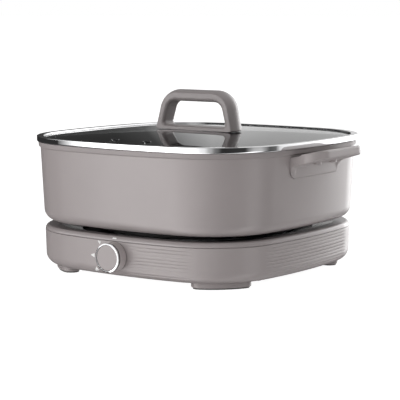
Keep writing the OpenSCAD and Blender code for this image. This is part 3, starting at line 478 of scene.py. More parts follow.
WALL_Y = PLAN_HALF + wall_out(KNOB_Z)
CUT_IN, CUT_OUT, SHAFT_HOLE_HALF = 14.0, 6.0, 4.8
base_shell = loft("base_shell_skin", base_rows(), [base_plastic], joined=True, weighted=False)
cut(base_shell,
    opening(INLET_W / 2 + FIT, INLET_H / 2 + FIT, INLET_Z, WALL_Y - CUT_IN, WALL_Y + CUT_OUT),
    opening(SHAFT_HOLE_HALF, SHAFT_HOLE_HALF, KNOB_Z, -WALL_Y - CUT_OUT, -WALL_Y + CUT_OUT))
sharpen(base_shell, 50)
put(base_shell, "base", "taupe_plastic", "base_shell")


# Power inlet: a rounded housing with a six-sided socket

SOCKET_W, SOCKET_H, SOCKET_DEPTH, SOCKET_CUT = 25.0, 17.0, 17.0, 4.5
HOUSING_R, SOCKET_R = 2.5, 1.0
INLET_Y = WALL_Y + INLET_OUT


def housing(grow, y):
    w, h, r = INLET_W / 2 + grow, INLET_H / 2 + grow, HOUSING_R
    corners = [(w, -h, r), (w, h, r), (-w, h, r), (-w, -h, r)]
    return [(x, y, INLET_Z + z) for x, z in rounded(corners, steps=8)]


def socket(grow, y):
    w, h, c, r = SOCKET_W / 2 + grow, SOCKET_H / 2 + grow, SOCKET_CUT, SOCKET_R
    corners = [(w, -h, r), (w, h - c, r), (w - c, h, r), (c - w, h, r), (-w, h - c, r), (-w, -h, r)]
    return [(x, y, INLET_Z + z) for x, z in rounded(corners, steps=5)]


# Rows by how far they grow and how far they lie behind the face
HOUSING_ROWS = [(-1.0, INLET_DEPTH), (0.0, INLET_DEPTH - 1.0), (0.0, 0.8), (-0.25, 0.25), (-0.8, 0.0)]
SOCKET_ROWS = [(0.5, 0.0), (0.15, 0.15), (0.0, 0.5), (0.0, SOCKET_DEPTH)]
inlet_rows = [housing(grow, INLET_Y - deep) for grow, deep in HOUSING_ROWS]
inlet_rows += [socket(grow, INLET_Y - deep) for grow, deep in SOCKET_ROWS]
inlet = loft("power_inlet_skin", inlet_rows, [black_plastic], weighted=False)
sharpen(inlet, 40)
put(inlet, "base", "black_plastic", "power_inlet")


# Top ring: a rounded crest, a level ledge and a shallow dish, with a fine seam above the shell

CREST_INSET, DISH_INSET, TRAY_INSET = 9.5, 42.0, 34.0
LEDGE_INSET, LEDGE_FALL, LEDGE_R = 21.0, 0.5, 12.0
SEAM_GAP, SEAM_EDGE_R = 0.3, 0.5
DISH_T, TRAY_REST_W, SKIRT_H, SKIRT_T = 0.5, 3.5, 3.7, 2.0
CREST_W, CREST_H = CREST_INSET - BASE_INSET_TOP, CREST_Z - SEAM_Z
skirt_x, skirt_z = -BASE_INSET_TOP - BASE_WALL - FIT, SEAM_Z - SKIRT_H
ring_edge = arc(-BASE_INSET_TOP - SEAM_EDGE_R, SEAM_Z + SEAM_EDGE_R + SEAM_GAP, SEAM_EDGE_R, -90, -20, 4)
crest = [(-CREST_INSET + CREST_W * x, SEAM_Z + CREST_H * z) for x, z in arc(0, 0, 1, 20, 90, 14)]
ledge = (-LEDGE_INSET, CREST_Z - LEDGE_FALL, LEDGE_R)
dish = rounded([(-CREST_INSET, CREST_Z), ledge, (-DISH_INSET, DISH_Z)], closed=False, steps=8)[1:]
ring_under = [
    (-DISH_INSET, DISH_Z - DISH_T), (-TRAY_INSET, DISH_Z - DISH_T),
    (-TRAY_INSET, TRAY_Z), (-TRAY_INSET + TRAY_REST_W, TRAY_Z),
    (skirt_x - SKIRT_T, CREST_Z - SKIRT_T), (skirt_x - SKIRT_T, skirt_z),
    (skirt_x, skirt_z), (skirt_x, SEAM_Z + SEAM_GAP)]
top_ring = outline_ring("top_ring_skin", ring_edge + crest + dish + ring_under, [ring_plastic])
put(top_ring, "base", "taupe_plastic", "top_ring")


# Feet: curved bars with rounded lower edges

PAD_T, FOOT_INSET, FOOT_W, FOOT_HALF_ANGLE = 1.2, 16.5, 18.0, 20.0
FOOT_MID_R, FOOT_HALF_W = CORNER_R - FOOT_INSET - FOOT_W / 2, FOOT_W / 2
FOOT_EDGE_R, FOOT_SOLE_IN, FOOT_BEVEL = 1.4, 3.6, 0.25
FOOT_CORNERS = ["rear_right", "rear_left", "front_left", "front_right"]
TIP_GAP = 12


def foot_outline(half_w, quarter, z):
    """A bar bent round the corner's centre, with round tips."""
    h = FOOT_HALF_ANGLE
    low_tip, high_tip = arc(0, 0, FOOT_MID_R, -h, h, 1)
    points = arc(0, 0, FOOT_MID_R + half_w, -h, h, 20)
    points += arc(*high_tip, half_w, h + TIP_GAP, h + 180 - TIP_GAP, 14)
    points += arc(0, 0, FOOT_MID_R - half_w, h, -h, 20)
    points += arc(*low_tip, half_w, 180 + TIP_GAP - h, 360 - TIP_GAP - h, 14)
    turn = Matrix.Rotation(QUARTER_TURN / 2, 2)
    centre = Vector((CORNER_C, CORNER_C))
    return [(*in_quarter(turn @ Vector(p) + centre, quarter), z) for p in points]


foot_profile = [(FOOT_HALF_W - FOOT_SOLE_IN, PAD_T)]
foot_profile += arc(FOOT_HALF_W - FOOT_EDGE_R, PAD_T + FOOT_EDGE_R, FOOT_EDGE_R, -90, 0, 6)
foot_profile += [(FOOT_HALF_W, BASE_Z - FOOT_BEVEL), (FOOT_HALF_W - FOOT_BEVEL, BASE_Z)]
for quarter, corner in enumerate(FOOT_CORNERS):
    foot_rows = [foot_outline(w, quarter, z) for w, z in foot_profile]
    foot = loft("foot_" + corner + "_skin", foot_rows, [foot_plastic])
    put(foot, "base", "taupe_plastic", "foot_" + corner)


# Knob: body, bright ring and cap turned about the knob's axis. Profiles stop just short of the axis

KNOB_BACK_Y = WALL_Y + KNOB_GAP
KNOB_SEAT = KNOB_LEN - KNOB_RING_LEN
KNOB_AXIS_R, KNOB_SIDE_T, KNOB_HOLLOW = 0.5, 2.0, 7.8
HUB_R, HUB_FOOT, SHAFT_R, SHAFT_END = 5.0, 3.5, 3.05, 8.8
GROOVE, GROOVE_W, GROOVE_SLACK = 1.0, 1.1, 0.01
RING_FACE, RING_SLOPE, RING_BACK_IN = 1.5, 0.8, 0.3
CAP_AXIS_R, CAP_GAP, CAP_T, CAP_CROWN = 0.4, 0.35, 2.1, 0.05


def front_axis(y):
    """Heights run out of the front, along -Y, from y in front of the centre."""
    return Matrix.Translation((0, -y, KNOB_Z)) @ Matrix.Rotation(math.pi / 2, 4, "X")


groove_r, groove_low, hollow_r = KNOB_R - GROOVE, KNOB_SEAT - GROOVE_W, KNOB_R - KNOB_SIDE_T
knob_profile = rounded([
    (KNOB_AXIS_R, KNOB_SEAT), (groove_r, KNOB_SEAT, 0.1), (groove_r, groove_low, 0.1),
    (KNOB_R, groove_low, 0.3), (KNOB_R, 0.0, 0.4), (hollow_r, 0.0, 0.2), (hollow_r, KNOB_HOLLOW),
    (HUB_R, KNOB_HOLLOW), (HUB_R, HUB_FOOT), (SHAFT_R, HUB_FOOT), (SHAFT_R, SHAFT_END),
    (KNOB_AXIS_R, SHAFT_END)], closed=False)
groove_edge = groove_low - GROOVE_SLACK
# The groove behind the ring takes black plastic: painted shade between ring and body.
groove_painted_shade = [int(min(a[1], b[1]) > groove_edge) for a, b in zip(knob_profile, knob_profile[1:])]
knob_body = lathe("knob_body_skin", knob_profile, [knob_plastic_painted_light, black_plastic], front_axis(KNOB_BACK_Y),
                  slots=groove_painted_shade)
put(knob_body, "knob", "taupe_plastic", "knob_body")
ring_inner_r = KNOB_R - RING_FACE
ring_profile = rounded([
    (ring_inner_r, 0.0), (KNOB_R - RING_BACK_IN, 0.0, 0.2), (KNOB_R, KNOB_RING_LEN - RING_SLOPE, 0.45),
    (ring_inner_r, KNOB_RING_LEN, 0.15)], steps=8)
ring_place = front_axis(KNOB_BACK_Y + KNOB_SEAT)
knob_ring = lathe("knob_ring_skin", ring_profile, [chrome], ring_place, closed=True)
put(knob_ring, "knob", "knob_chrome", "knob_ring")
cap_r = ring_inner_r - CAP_GAP
cap_profile = rounded([
    (CAP_AXIS_R, 0.0), (cap_r, 0.0, 0.1), (cap_r, CAP_T, 0.4), (CAP_AXIS_R, CAP_T + CAP_CROWN)],
    closed=False, steps=6)
knob_cap = lathe("knob_cap_skin", cap_profile, [plastic], ring_place)
put(knob_cap, "knob", "taupe_plastic", "knob_cap")


# White print: three heat wedges left of the knob and an off mark above it

PRINT_T, PRINT_SINK, PRINT_STEPS = 0.06, 0.05, 6
MARK_HALF_LEN, MARK_HALF_W, MARK_TIP_HALF_W = 2.5, 2.2, 0.5
# Place (x, z), angle in degrees and size of each wedge
HEAT_MARKS = [(-19.4, 38.4, 146, 0.7), (-27.7, 24.9, 179, 0.95), (-24.9, 11.0, 211, 1.0)]
OFF_MARK = [(-3.4, 42.7), (1.2, 42.7), (1.2, 43.9), (-3.4, 43.9)]


def front_y(x, out):
    return -(BOW_C + math.sqrt((SIDE_BOW_R + out) ** 2 - x * x))


def crest_out(z):
    """Distance of the top ring's crest outside the outline at a height."""
    return -CREST_INSET + CREST_W * math.sqrt(max(0.0, 1 - ((z - SEAM_Z) / CREST_H) ** 2))


def slab_faces(n):
    """Faces of a thin slab between two grids of n by n points."""
    count = n * n
    faces = []
    for i in range(n - 1):
        for k in range(i * n, i * n + n - 1):
            faces.append((k, k + 1, k + n + 1, k + n))
    faces += [tuple(count + k for k in f) for f in faces]
    edge = list(range(n)) + [i * n + n - 1 for i in range(1, n)]
    edge += [count - 1 - i for i in range(1, n)] + [(n - 1 - i) * n for i in range(1, n - 1)]
    return faces + [(a, b, count + b, count + a) for a, b in zip(edge, edge[1:] + edge[:1])]


def printed(name, corners, out_at):
    """A thin patch with four corners (x, z), laid on the front."""
    a, b, c, d = corners
    shares = [i / PRINT_STEPS for i in range(PRINT_STEPS + 1)]
    spots = [between(between(a, b, u), between(d, c, u), v) for u in shares for v in shares]
    top = [(x, front_y(x, out_at(z) + PRINT_T), z) for x, z in spots]
    low = [(x, front_y(x, out_at(z) - PRINT_SINK), z) for x, z in spots]
    patch = piece(name, top + low, slab_faces(len(shares)), [mark_white], weighted=False)
    put(patch, "base", "taupe_plastic")


for number, (x, z, angle, size) in enumerate(HEAT_MARKS, 1):
    a = math.radians(angle)
    along, across = Vector((math.cos(a), math.sin(a))), Vector((-math.sin(a), math.cos(a)))
    near = Vector((x, z)) - along * (MARK_HALF_LEN * size)
    far = Vector((x, z)) + along * (MARK_HALF_LEN * size)
    wide, tip = across * (MARK_HALF_W * size), across * (MARK_TIP_HALF_W * size)
    printed(f"heat_mark_{number}", [near - wide, near + wide, far + tip, far - tip], wall_out)
printed("off_mark", OFF_MARK, crest_out)


# Pot: coated outside, speckled inside, dark underneath with a bare contact face

POT_ARC_Z, POT_FLOOR_Z = POT_Z + POT_FILLET, POT_Z + POT_FLOOR
PLATE_TOP_Z, LOCATOR_Z, LOCATOR_R, LOCATOR_W, LOCATOR_EDGE = 43.8, 40.8, 91.0, 8.0, 0.6
UNDERSIDE_W, WALL_END_DROP, MOUTH_DROP, MOUTH_TAPER, LIP_W = 4, 1.2, 3, 0.1, 1.5
FLANGE_STEP_IN, FLANGE_STEP_UP = 0.5, 0.35
POT_WALL_ROWS = 7
CONTACT_RADII, FLOOR_RADII = (4, 30, 60), (100, 60, 30, 4)
COAT, UNDERSIDE, CONTACT, INSIDE, LIP_PAINTED_SHADE = range(5)
POT_MATERIALS = [coat, black, contact, nonstick, lip_coat_painted_shade]


def pot_wall_out(z):
    """Distance of the pot's wall outside the outline at a height."""
    return -POT_INSET_LOW + (POT_INSET_LOW - POT_INSET_TOP) * (z - POT_ARC_Z) / (FLANGE_Z - POT_ARC_Z)


MOUTH_OUT = pot_wall_out(POT_TOP_Z) - POT_WALL


def pot_underside():
    """The contact face, the locating ring round it and the dark rest, as rows with material slots."""
    inner, outer = LOCATOR_R - LOCATOR_EDGE, LOCATOR_R + LOCATOR_W
    section = rounded([
        (inner, PLATE_TOP_Z), (LOCATOR_R, PLATE_TOP_Z, 0.4), (LOCATOR_R, LOCATOR_Z, 0.6),
        (outer, LOCATOR_Z, 0.8), (outer, POT_Z, 0.5), (outer + UNDERSIDE_W, POT_Z)], closed=False, steps=3)
    rows = [(disc(r, PLATE_TOP_Z), CONTACT) for r in (*CONTACT_RADII, inner)]
    rows += [(disc(r, z), UNDERSIDE) for r, z in section[1:-1]]
    return rows + [(disc(*section[-1]), COAT)]


def pot_outside():
    """The rounded lower edge, the wall and the flange's lip."""
    wall_end = FLANGE_Z - WALL_END_DROP
    low_edge = arc(-POT_INSET_LOW - POT_FILLET, POT_ARC_Z, POT_FILLET, -90, 0, 20)
    rows = [(ring(x, z), COAT) for x, z in low_edge]
    for i in range(1, POT_WALL_ROWS + 1):
        z = POT_ARC_Z + (wall_end - POT_ARC_Z) * i / POT_WALL_ROWS
        rows.append((ring(pot_wall_out(z), z), COAT))
    lip = rounded([
        (pot_wall_out(wall_end), wall_end), (pot_wall_out(FLANGE_Z), FLANGE_Z, 0.7),
        (FLANGE_OUT - FLANGE_STEP_IN, FLANGE_Z + FLANGE_STEP_UP, 0.8), (FLANGE_OUT, POT_TOP_Z, 0.7),
        (MOUTH_OUT, POT_TOP_Z, 0.6), (MOUTH_OUT - MOUTH_TAPER, POT_TOP_Z - MOUTH_DROP)], closed=False)
    # Rows of the flange's lip take the darker lip coat: painted shade under the rim.
    return rows + [(ring(x, z), LIP_PAINTED_SHADE if x > MOUTH_OUT + LIP_W else INSIDE) for x, z in lip[1:]]


def pot_inside():
    """The inner wall, its rounded foot and the floor."""
    fillet = POT_FILLET / 2
    foot = (-POT_INSET_LOW - POT_WALL, POT_FLOOR_Z + fillet)
    mouth = (MOUTH_OUT - MOUTH_TAPER, POT_TOP_Z - MOUTH_DROP)
    steps = POT_WALL_ROWS + 1
    rows = [(ring(*between(mouth, foot, i / steps)), INSIDE) for i in range(1, steps)]
    rows += [(ring(x, z), INSIDE) for x, z in arc(foot[0] - fillet, foot[1], fillet, 0, -90, 14)]
    return rows + [(disc(r, POT_FLOOR_Z), INSIDE) for r in FLOOR_RADII]


pot_rows = pot_underside() + pot_outside() + pot_inside()
pot_slots = [slot for _, slot in pot_rows]
pot = loft("pot_body_skin", [row for row, _ in pot_rows], POT_MATERIALS, slots=pot_slots)
put(pot, "pot", "coated_pot", "pot_body")


# Side handles: a rising shelf with a rounded band, and a web at each end of the finger recess

GRIP_HALF, GRIP_REACH, GRIP_CORNER, GRIP_RISE, GRIP_BAND_H = 44.0, 30.0, 18.0, 7.5, 9.0
GRIP_EDGE_R, GRIP_LOW_R, GRIP_ROOT_R, GRIP_WEB_R = 2.6, 8.0, 3.0, 9.0
GRIP_BACK_H, GRIP_BACK_T, GRIP_WEB_T, GRIP_BEVEL = 20.5, 1.5, 7.5, 0.4
GRIP_DROP = 2.2
GRIP_TOP_Z = FLANGE_Z - GRIP_DROP
GRIP_LOW_Z = GRIP_TOP_Z - GRIP_BACK_H
GRIP_WALL_GAP, GRIP_END_SLACK = 0.1, 0.02
SHELF_STEPS, SHELF_SAG, BAND_ARC = 8, 0.35, 84
WEB_BEFORE, WEB_AFTER, WEB_FOOT_ROOM = 1.0, 2.2, 0.5


def wall_x(y, z):
    """Where the handle's back lies on the pot's wall."""
    return BOW_C + math.sqrt((SIDE_BOW_R + pot_wall_out(z)) ** 2 - y * y) + GRIP_WALL_GAP


GRIP_WALL_X = wall_x(0, GRIP_TOP_Z)


def shelf_z(x):
    return GRIP_TOP_Z + GRIP_RISE * (x - GRIP_WALL_X) / GRIP_REACH


def under_z(x):
    return shelf_z(x) - GRIP_BAND_H


def recess_line(edge, back, foot_z):
    """Underside of the shelf and front of the back plate, with a small bend between them."""
    bend = (back + GRIP_ROOT_R, under_z(back + GRIP_ROOT_R))
    end = (back, under_z(back) - GRIP_ROOT_R)
    made = [between(edge, bend, t) for t in (0.25, 0.5, 0.75)]
    made += bezier(bend, (back, under_z(back)), end, 6)
    return made + [between(end, (back, foot_z), t) for t in (0.4, 0.75)]


def web_line(edge, back, foot_z, count):
    """The same with a wide bend, as a number of points."""
    wide_x = min(back + GRIP_WEB_R, 0.5 * (back + edge[0]))
    bend = (wide_x, under_z(wide_x))
    end = (back, max(under_z(back) - GRIP_WEB_R, foot_z + WEB_FOOT_ROOM))
    made = [between(edge, bend, t) for t in (0.35, 0.7)]
    return made + bezier(bend, (back, under_z(back)), end, count - len(made) - 1)


def grip_section(y, x_out, web):
    """Section of a handle at y. web is 0 in the finger recess and 1 in the webs."""
    r = GRIP_EDGE_R
    dy = max(0.0, abs(y) - GRIP_HALF + GRIP_LOW_R)
    low = GRIP_LOW_Z + GRIP_LOW_R - math.sqrt(max(0.0, GRIP_LOW_R ** 2 - dy * dy))
    back, start, edge_x = wall_x(y, low) + GRIP_BACK_T, wall_x(y, GRIP_TOP_Z), x_out - r
    points = []
    for t in [i / SHELF_STEPS for i in range(SHELF_STEPS)]:
        x = start + (edge_x - start) * t
        points.append((x, shelf_z(x) - SHELF_SAG * math.sin(math.pi * t)))
    top = shelf_z(x_out)
    edge = (edge_x, top - GRIP_BAND_H)
    points += arc(edge_x, top - r, r, BAND_ARC, 0, 7) + arc(edge_x, edge[1] + r, r, 0, -BAND_ARC, 7)
    last = (back, low + GRIP_BACK_T)
    deep = recess_line(edge, back, last[1])
    bent = web_line(edge, back, last[1], len(deep))
    points += [between(p, q, web) for p, q in zip(deep, bent)]
    points += [last, (back - GRIP_BEVEL, low + GRIP_BEVEL), (wall_x(y, low), low)]
    return [(x, y, z) for x, z in points]


def grip_rows(side):
    """Sections from end to end, closer together round the corners."""
    straight, web_y = GRIP_HALF - GRIP_CORNER, GRIP_HALF - GRIP_WEB_T
    corner_x = GRIP_WALL_X + GRIP_REACH - GRIP_CORNER
    spots = [straight * i / 5 for i in range(5)]
    spots += [straight + GRIP_CORNER * math.sin(math.radians(a)) for a in range(0, 88, 2)]
    spots += [GRIP_HALF - GRIP_END_SLACK]
    spots = [-y for y in spots[:0:-1]] + spots
    rows = []
    for y in spots:
        dy = max(0.0, abs(y) - straight)
        x_out = corner_x + math.sqrt(max(0.0, GRIP_CORNER ** 2 - dy * dy))
        web = smoothstep(web_y - WEB_BEFORE, web_y + WEB_AFTER, abs(y))
        rows.append([(side * x, yy, z) for x, yy, z in grip_section(y, x_out, web)])
    return rows


for side, word in ((1, "right"), (-1, "left")):
    grip = loft(f"handle_{word}_skin", grip_rows(side), [plastic])
    put(grip, "pot", "taupe_plastic", "handle_" + word)


# Lid rim: a rolled steel band, a flat lip that turns down to the glass, and a plug into the pot

RIM_TOP_Z, RIM_OUT, RIM_BAND_T = 133.2, 2.2, 2.8
RIM_LIP_W, RIM_LIP_SLOPE, RIM_LIP_GAP, RIM_LIP_TIP = 6.6, 1.4, 0.55, 0.1
PLUG_H, PLUG_T, PLUG_GAP = 2.5, 1.0, 0.6
plug_x, plug_z = MOUTH_OUT - PLUG_GAP, POT_TOP_Z - PLUG_H
plug_in = plug_x - PLUG_T
band_x, lip_x = RIM_OUT - RIM_BAND_T, RIM_OUT - RIM_LIP_W
foot_x, foot_z = lip_x - RIM_LIP_SLOPE, GLASS_EDGE_Z + RIM_LIP_GAP
ledge_z = GLASS_EDGE_Z - GLASS_EDGE_T - FIT
rim_section = rounded([
    (plug_x, POT_TOP_Z, 0.2), (RIM_OUT, POT_TOP_Z, 1.5), (RIM_OUT, RIM_TOP_Z, 0.4), (lip_x, RIM_TOP_Z, 0.6),
    (foot_x, foot_z + RIM_LIP_TIP, 0.05), (foot_x + RIM_LIP_TIP, foot_z, 0.05),
    (band_x, GLASS_EDGE_Z + FIT, 0.2), (band_x, ledge_z, 0.2), (plug_in, ledge_z, 0.2),
    (plug_in, plug_z, 0.3), (plug_x, plug_z, 0.3)], steps=8)
put(outline_ring("lid_rim_skin", rim_section, [rim_steel]), "lid", "rim_steel", "lid_rim")


# Lid glass: a low dome with two vent holes

GLASS_OUT = band_x - FIT
GLASS_BEVEL = 0.5
DOME_HALF, DOME_RISE = PLAN_HALF + GLASS_OUT, GLASS_TOP_Z - GLASS_EDGE_Z
DOME_STEPS, DOME_FIRST, DOME_LAST = 22, 0.03, 0.985
EDGE = [p[:2] for p in ring(GLASS_OUT, 0)]


def dome_z(share):
    return GLASS_EDGE_Z + DOME_RISE * (1 - share * share)


def glass_t(share):
    return GLASS_T + (GLASS_EDGE_T - GLASS_T) * share * share


def dome_row(share, drop):
    """The glass's outline shrunk to a share, below the dome's top by a drop."""
    return [(x * share, y * share, dome_z(share) - drop) for x, y in EDGE]


shares = [DOME_FIRST] + [i / DOME_STEPS for i in range(1, DOME_STEPS)] + [DOME_LAST]
glass_rows = [dome_row(s, glass_t(s)) for s in shares]
glass_rows += [dome_row(1.0, GLASS_EDGE_T - GLASS_BEVEL), dome_row(1.0, GLASS_BEVEL)]
glass_rows += [dome_row(s, 0.0) for s in reversed(shares)]
lid_glass = loft("lid_glass_skin", glass_rows, [glass], weighted=False)


# Steam vents: short grommets square to the glass

VENT_X, VENT_Y, VENT_R, VENT_WALL, VENT_FLANGE_W, VENT_FLANGE_T = 19.0, 110.0, 3.0, 0.4, 1.0, 0.8
VENT_STEPS, VENT_BORE_GAP, VENT_DISH, VENT_SLOPE, VENT_LIP_W, VENT_FLARE = 48, 0.15, 0.3, 0.2, 0.5, 0.9
vent_share = math.hypot(VENT_X, VENT_Y) / DOME_HALF
vent_tilt = math.atan(2 * DOME_RISE * VENT_Y / DOME_HALF ** 2)
vent_z = dome_z(vent_share) - glass_t(vent_share) / 2
reach = glass_t(vent_share) / 2 + FIT
top = reach + VENT_FLANGE_T
hole, flange = VENT_R + VENT_WALL, VENT_R + VENT_WALL + VENT_FLANGE_W
grommet = rounded([
    (VENT_R, -top, 0.3), (flange, -top, 0.3), (flange, -reach, 0.1), (hole, -reach, 0.1), (hole, reach, 0.1),
    (flange, reach, 0.05), (flange - VENT_SLOPE, top - VENT_DISH, 0.3),
    (VENT_R + VENT_LIP_W, top - VENT_DISH, 0.3), (VENT_R, top - VENT_FLARE, 0.2)])
bore = [(hole + VENT_BORE_GAP, -2 * top), (hole + VENT_BORE_GAP, 2 * top)]
vent_holes = []
for side, word in ((1, "right"), (-1, "left")):
    place = Matrix.Translation((side * VENT_X, -VENT_Y, vent_z)) @ Matrix.Rotation(vent_tilt, 4, "X")
    vent = lathe(f"vent_grommet_{word}", grommet, [vent_steel_painted_dark], place, closed=True, steps=VENT_STEPS)
    put(vent, "lid", "rim_steel", "vent_grommets")
    vent_holes.append(lathe("cutter", bore, [glass], place, steps=VENT_STEPS))
cut(lid_glass, *vent_holes)
sharpen(lid_glass, 50)
put(lid_glass, "lid", "lid_glass", "lid_glass")


# Lid handle: a closed loop with well rounded edges, leaning back a little

GRAB_Z, GRAB_HIGH_Z, GRAB_UNDER_Z, GRAB_H, GRAB_LEAN = 137.12, 177.1, 165.6, 40.2, 1.4
GRAB_HALF_FOOT, GRAB_HALF_TOP, GRAB_DEPTH = 48.5, 40.2, 20.0
GRAB_FOOT_T, GRAB_LEG_T, GRAB_LEG_TOP_T = 3.9, 10.6, 8.4
GRAB_OUTER_R, GRAB_INNER_R = (1.5, 22.0), (4.0, 10.5)
GRAB_CROWN, GRAB_EDGE_R, GRAB_FOOT_EDGE_R, GRAB_PALM_R, GRAB_PALM_SHARE = 3.2, 1.6, 0.15, 4.8, 0.46
GRAB_FOOT_STEPS = 12
GRAB_FLAT_FROM, GRAB_FLAT_FULL = 0.2, 0.8
CROWN_SPOTS = (0.8, 0.6, 0.4, 0.2, 0.0, -0.2, -0.4, -0.6, -0.8)


def grab_loop(half_foot, half_top, low, high, radii):
    """One edge of the loop, seen from the front: foot and top corners rounded, foot cut into steps."""
    foot_r, top_r = radii
    loop = rounded([(half_foot, low, foot_r), (half_top, high, top_r), (-half_top, high, top_r),
                    (-half_foot, low, foot_r)], steps=16)
    start, end = loop[-1][0], loop[0][0]
    return loop + [(start + (end - start) * k / GRAB_FOOT_STEPS, low) for k in range(1, GRAB_FOOT_STEPS)]


def grab_section(width, foot):
    """Section of the loop: distance out from its opening, and depth. foot is 1 where it has no crown."""
    half = GRAB_DEPTH / 2
    crown = GRAB_CROWN * (1 - foot)
    edge = GRAB_EDGE_R + (GRAB_FOOT_EDGE_R - GRAB_EDGE_R) * foot
    inner = min(GRAB_PALM_R, GRAB_PALM_SHARE * width)
    outside = [(width - crown * k * k, k * half) for k in CROWN_SPOTS]
    corners = [(0.0, -half, inner), (0.0, half, inner), (width - crown, half, edge)]
    return rounded(corners + outside + [(width - crown, -half, edge)], steps=7)


def grab_row(outer, inner):
    """One section of the loop: crowned outwards, but flat underneath where it stands on the glass."""
    gap = Vector(outer) - Vector(inner)
    way = gap.normalized()
    foot = smoothstep(GRAB_FLAT_FROM, GRAB_FLAT_FULL, -way.y)
    row = []
    for (s, y), (flat_s, flat_y) in zip(grab_section(gap.length, 0.0), grab_section(gap.length, 1.0)):
        z = inner[1] + way.y * (flat_s if way.y < 0 else s)
        lean = GRAB_LEAN * (z - GRAB_Z) / GRAB_H
        row.append((inner[0] + s * way.x, y + (flat_y - y) * foot + lean, z))
    return row


outer_loop = grab_loop(GRAB_HALF_FOOT, GRAB_HALF_TOP, GRAB_Z, GRAB_HIGH_Z, GRAB_OUTER_R)
inner_loop = grab_loop(GRAB_HALF_FOOT - GRAB_LEG_T, GRAB_HALF_TOP - GRAB_LEG_TOP_T, GRAB_Z + GRAB_FOOT_T,
                       GRAB_UNDER_Z, GRAB_INNER_R)
grab_rows = [grab_row(o, i) for o, i in zip(outer_loop, inner_loop)]
put(loft("lid_handle_skin", grab_rows, [grab_plastic_painted_shade], joined=True), "lid", "taupe_plastic", "lid_handle")


# Materials of the CAD nodes that stay

CARRIED = {
    plastic: ["bottom_cover"],
    black: ["drip_tray"],
    rubber: ["pad_front_right", "pad_rear_right", "pad_rear_left", "pad_front_left", "lid_handle_washers"],
    aluminium: ["heating_plate"],
    sheath: ["heating_element"],
    zinc: ["cover_screws", "plate_posts", "plate_screws", "switch_nut", "switch_shaft", "handle_tab_right",
           "handle_tab_left", "lid_handle_screws"],
    screw_paint_with_painted_light: ["handle_screws"],
    black_plastic: ["heat_switch"],
    brass: ["inlet_pins"],
    ceramic: ["thermostat", "thermal_fuse"],
    wire_brown: ["wire_live", "wire_heater"],
    wire_blue: ["wire_neutral", "wire_fuse"],
    wire_green: ["wire_earth"],
}
for m, names in CARRIED.items():
    for name in names:
        NODES[name].data.materials.clear()
        NODES[name].data.materials.append(m)


# Floor: one sheet for the camera, and one below it that lights the part from underneath

FLOOR_HALF = 40.0 / MM


def floor_sheet(name, surface, z, albedo, glow):
    m, tree, shader = material(surface)
    shader.inputs["Base Color"].default_value = (albedo, albedo, albedo, 1)
    shader.inputs["Roughness"].default_value = 0.9
    shader.inputs["Specular IOR Level"].default_value = 0.0
    shader.inputs["Emission Color"].default_value = (1, 1, 1, 1)
    shader.inputs["Emission Strength"].default_value = glow
    s = FLOOR_HALF
    corners = [(-s, -s, z), (s, -s, z), (s, s, z), (-s, s, z)]
    return piece(name, corners, [(0, 1, 2, 3)], [m], weighted=False)


floor = floor_sheet("floor", "pale floor", z=-0.2, albedo=0.3, glow=0.95)
floor.visible_diffuse = floor.visible_glossy = floor.visible_transmission = floor.visible_shadow = False
bounce = floor_sheet("floor_bounce", "floor bounce", z=-0.3, albedo=0.8, glow=0.25)
bounce.visible_camera = bounce.visible_glossy = False


# World: soft boxes round the object, as brightness by compass angle. 0 is in front, 90 is on the right

BEHIND = [(-180, 5.0), (-174, 4.5), (-164, 1.6), (-152, 0.7), (-148, 0.64), (-145, 0.74), (-141.5, 0.06)]
FRONT = [(-40, 3.3), (-22, 3.6), (0, 2.2), (25, 1.0), (33, 0.5), (41, 0.18), (49, 0.03)]
RIGHT = [(78, 0.04), (85, 0.23), (93, 0.41), (100, 0.45), (108, 0.31), (116, 0.11), (126, 0.15), (130, 0.5),
         (135, 1.05), (142, 1.2), (150, 1.7), (162, 3.0), (172, 4.4), (180, 5.0)]
LEVEL = BEHIND + [(-130, 0.03), (-58, 0.03)] + FRONT + RIGHT
# Below the horizon the front and the far right are lit
BELOW = [(-180, 0.5), (-165, 0.05), (-58, 0.05)] + FRONT
BELOW += [(80, 0.05), (90, 2.4), (102, 2.4), (112, 0.05), (126, 0.05), (140, 0.3), (150, 0.5), (162, 1.0),
          (172, 0.8), (180, 0.5)]
# Above the horizon there is a fill from the left
ABOVE = BEHIND + [(-132, 0.05), (-90, 0.05), (-76, 1.4), (-58, 2.8)] + FRONT + RIGHT
# Overhead the left is dark, which draws the dark line along the lid's rear right edge
ZENITH = [(-180, 1.0), (-130, 0.4), (-105, 0.04), (-52, 0.04), (-25, 0.55), (0, 0.6), (60, 0.36),
          (100, 0.36), (130, 0.9), (150, 1.3), (180, 1.1)]
WHITE = (1, 1, 1, 1)


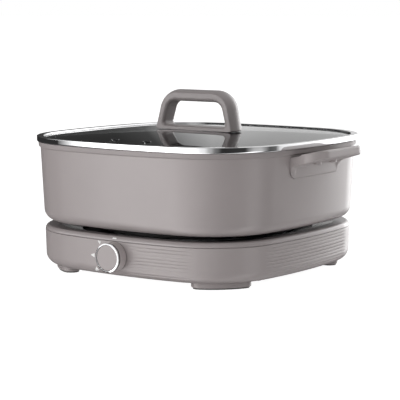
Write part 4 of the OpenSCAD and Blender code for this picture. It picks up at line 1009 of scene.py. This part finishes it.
def math_node(tree, kind, a, b):
    """One step of arithmetic on two values. Each is a socket or a number."""
    n = tree.nodes.new("ShaderNodeMath")
    n.operation = kind
    for entry, value in zip(n.inputs, (a, b)):
        if isinstance(value, (int, float)):
            entry.default_value = value
        else:
            link(tree, value, entry)
    return n.outputs[0]


def colour_mix(tree):
    mix = tree.nodes.new("ShaderNodeMix")
    mix.data_type = "RGBA"
    return mix


def compass_ramp(tree, turn, stops, entry):
    ramp(tree, turn, [((a + 180) / 360, v) for a, v in stops], entry, "EASE")


def studio_light(tree):
    """Brightness by direction: the horizon's band fades into those below, above and overhead."""
    where = tree.nodes.new("ShaderNodeTexCoord")
    way = tree.nodes.new("ShaderNodeSeparateXYZ")
    link(tree, where.outputs["Generated"], way.inputs["Vector"])
    up = way.outputs["Z"]
    down = math_node(tree, "MULTIPLY", up, -1.0)
    ahead = math_node(tree, "MULTIPLY", way.outputs["Y"], -1.0)
    compass = math_node(tree, "ARCTAN2", way.outputs["X"], ahead)
    turn = math_node(tree, "ADD", math_node(tree, "DIVIDE", compass, 2 * math.pi), 0.5)
    # Each band with the way it lies, and the heights where it starts and is full
    bands = [(BELOW, down, 0.08, 0.35), (ABOVE, up, 0.05, 0.2), (ZENITH, up, 0.22, 0.7)]
    light = None
    for band, height, start, full in bands:
        mix = colour_mix(tree)
        if light is None:
            compass_ramp(tree, turn, LEVEL, mix.inputs["A"])
        else:
            link(tree, light, mix.inputs["A"])
        compass_ramp(tree, turn, band, mix.inputs["B"])
        span(tree, height, 0.0, 1.0, mix.inputs["Factor"], start, full)
        light = mix.outputs["Result"]
    return light


def studio_world():
    """The studio's light, and plain white where the camera sees past the floor."""
    world = bpy.data.worlds.new("studio")
    bpy.context.scene.world = world
    world.use_nodes = True
    tree = world.node_tree
    rays = tree.nodes.new("ShaderNodeLightPath")
    seen = colour_mix(tree)
    link(tree, rays.outputs["Is Camera Ray"], seen.inputs["Factor"])
    link(tree, studio_light(tree), seen.inputs["A"])
    seen.inputs["B"].default_value = WHITE
    link(tree, seen.outputs["Result"], tree.nodes["Background"].inputs["Color"])


studio_world()
bpy.context.scene.view_settings.view_transform = "Standard"
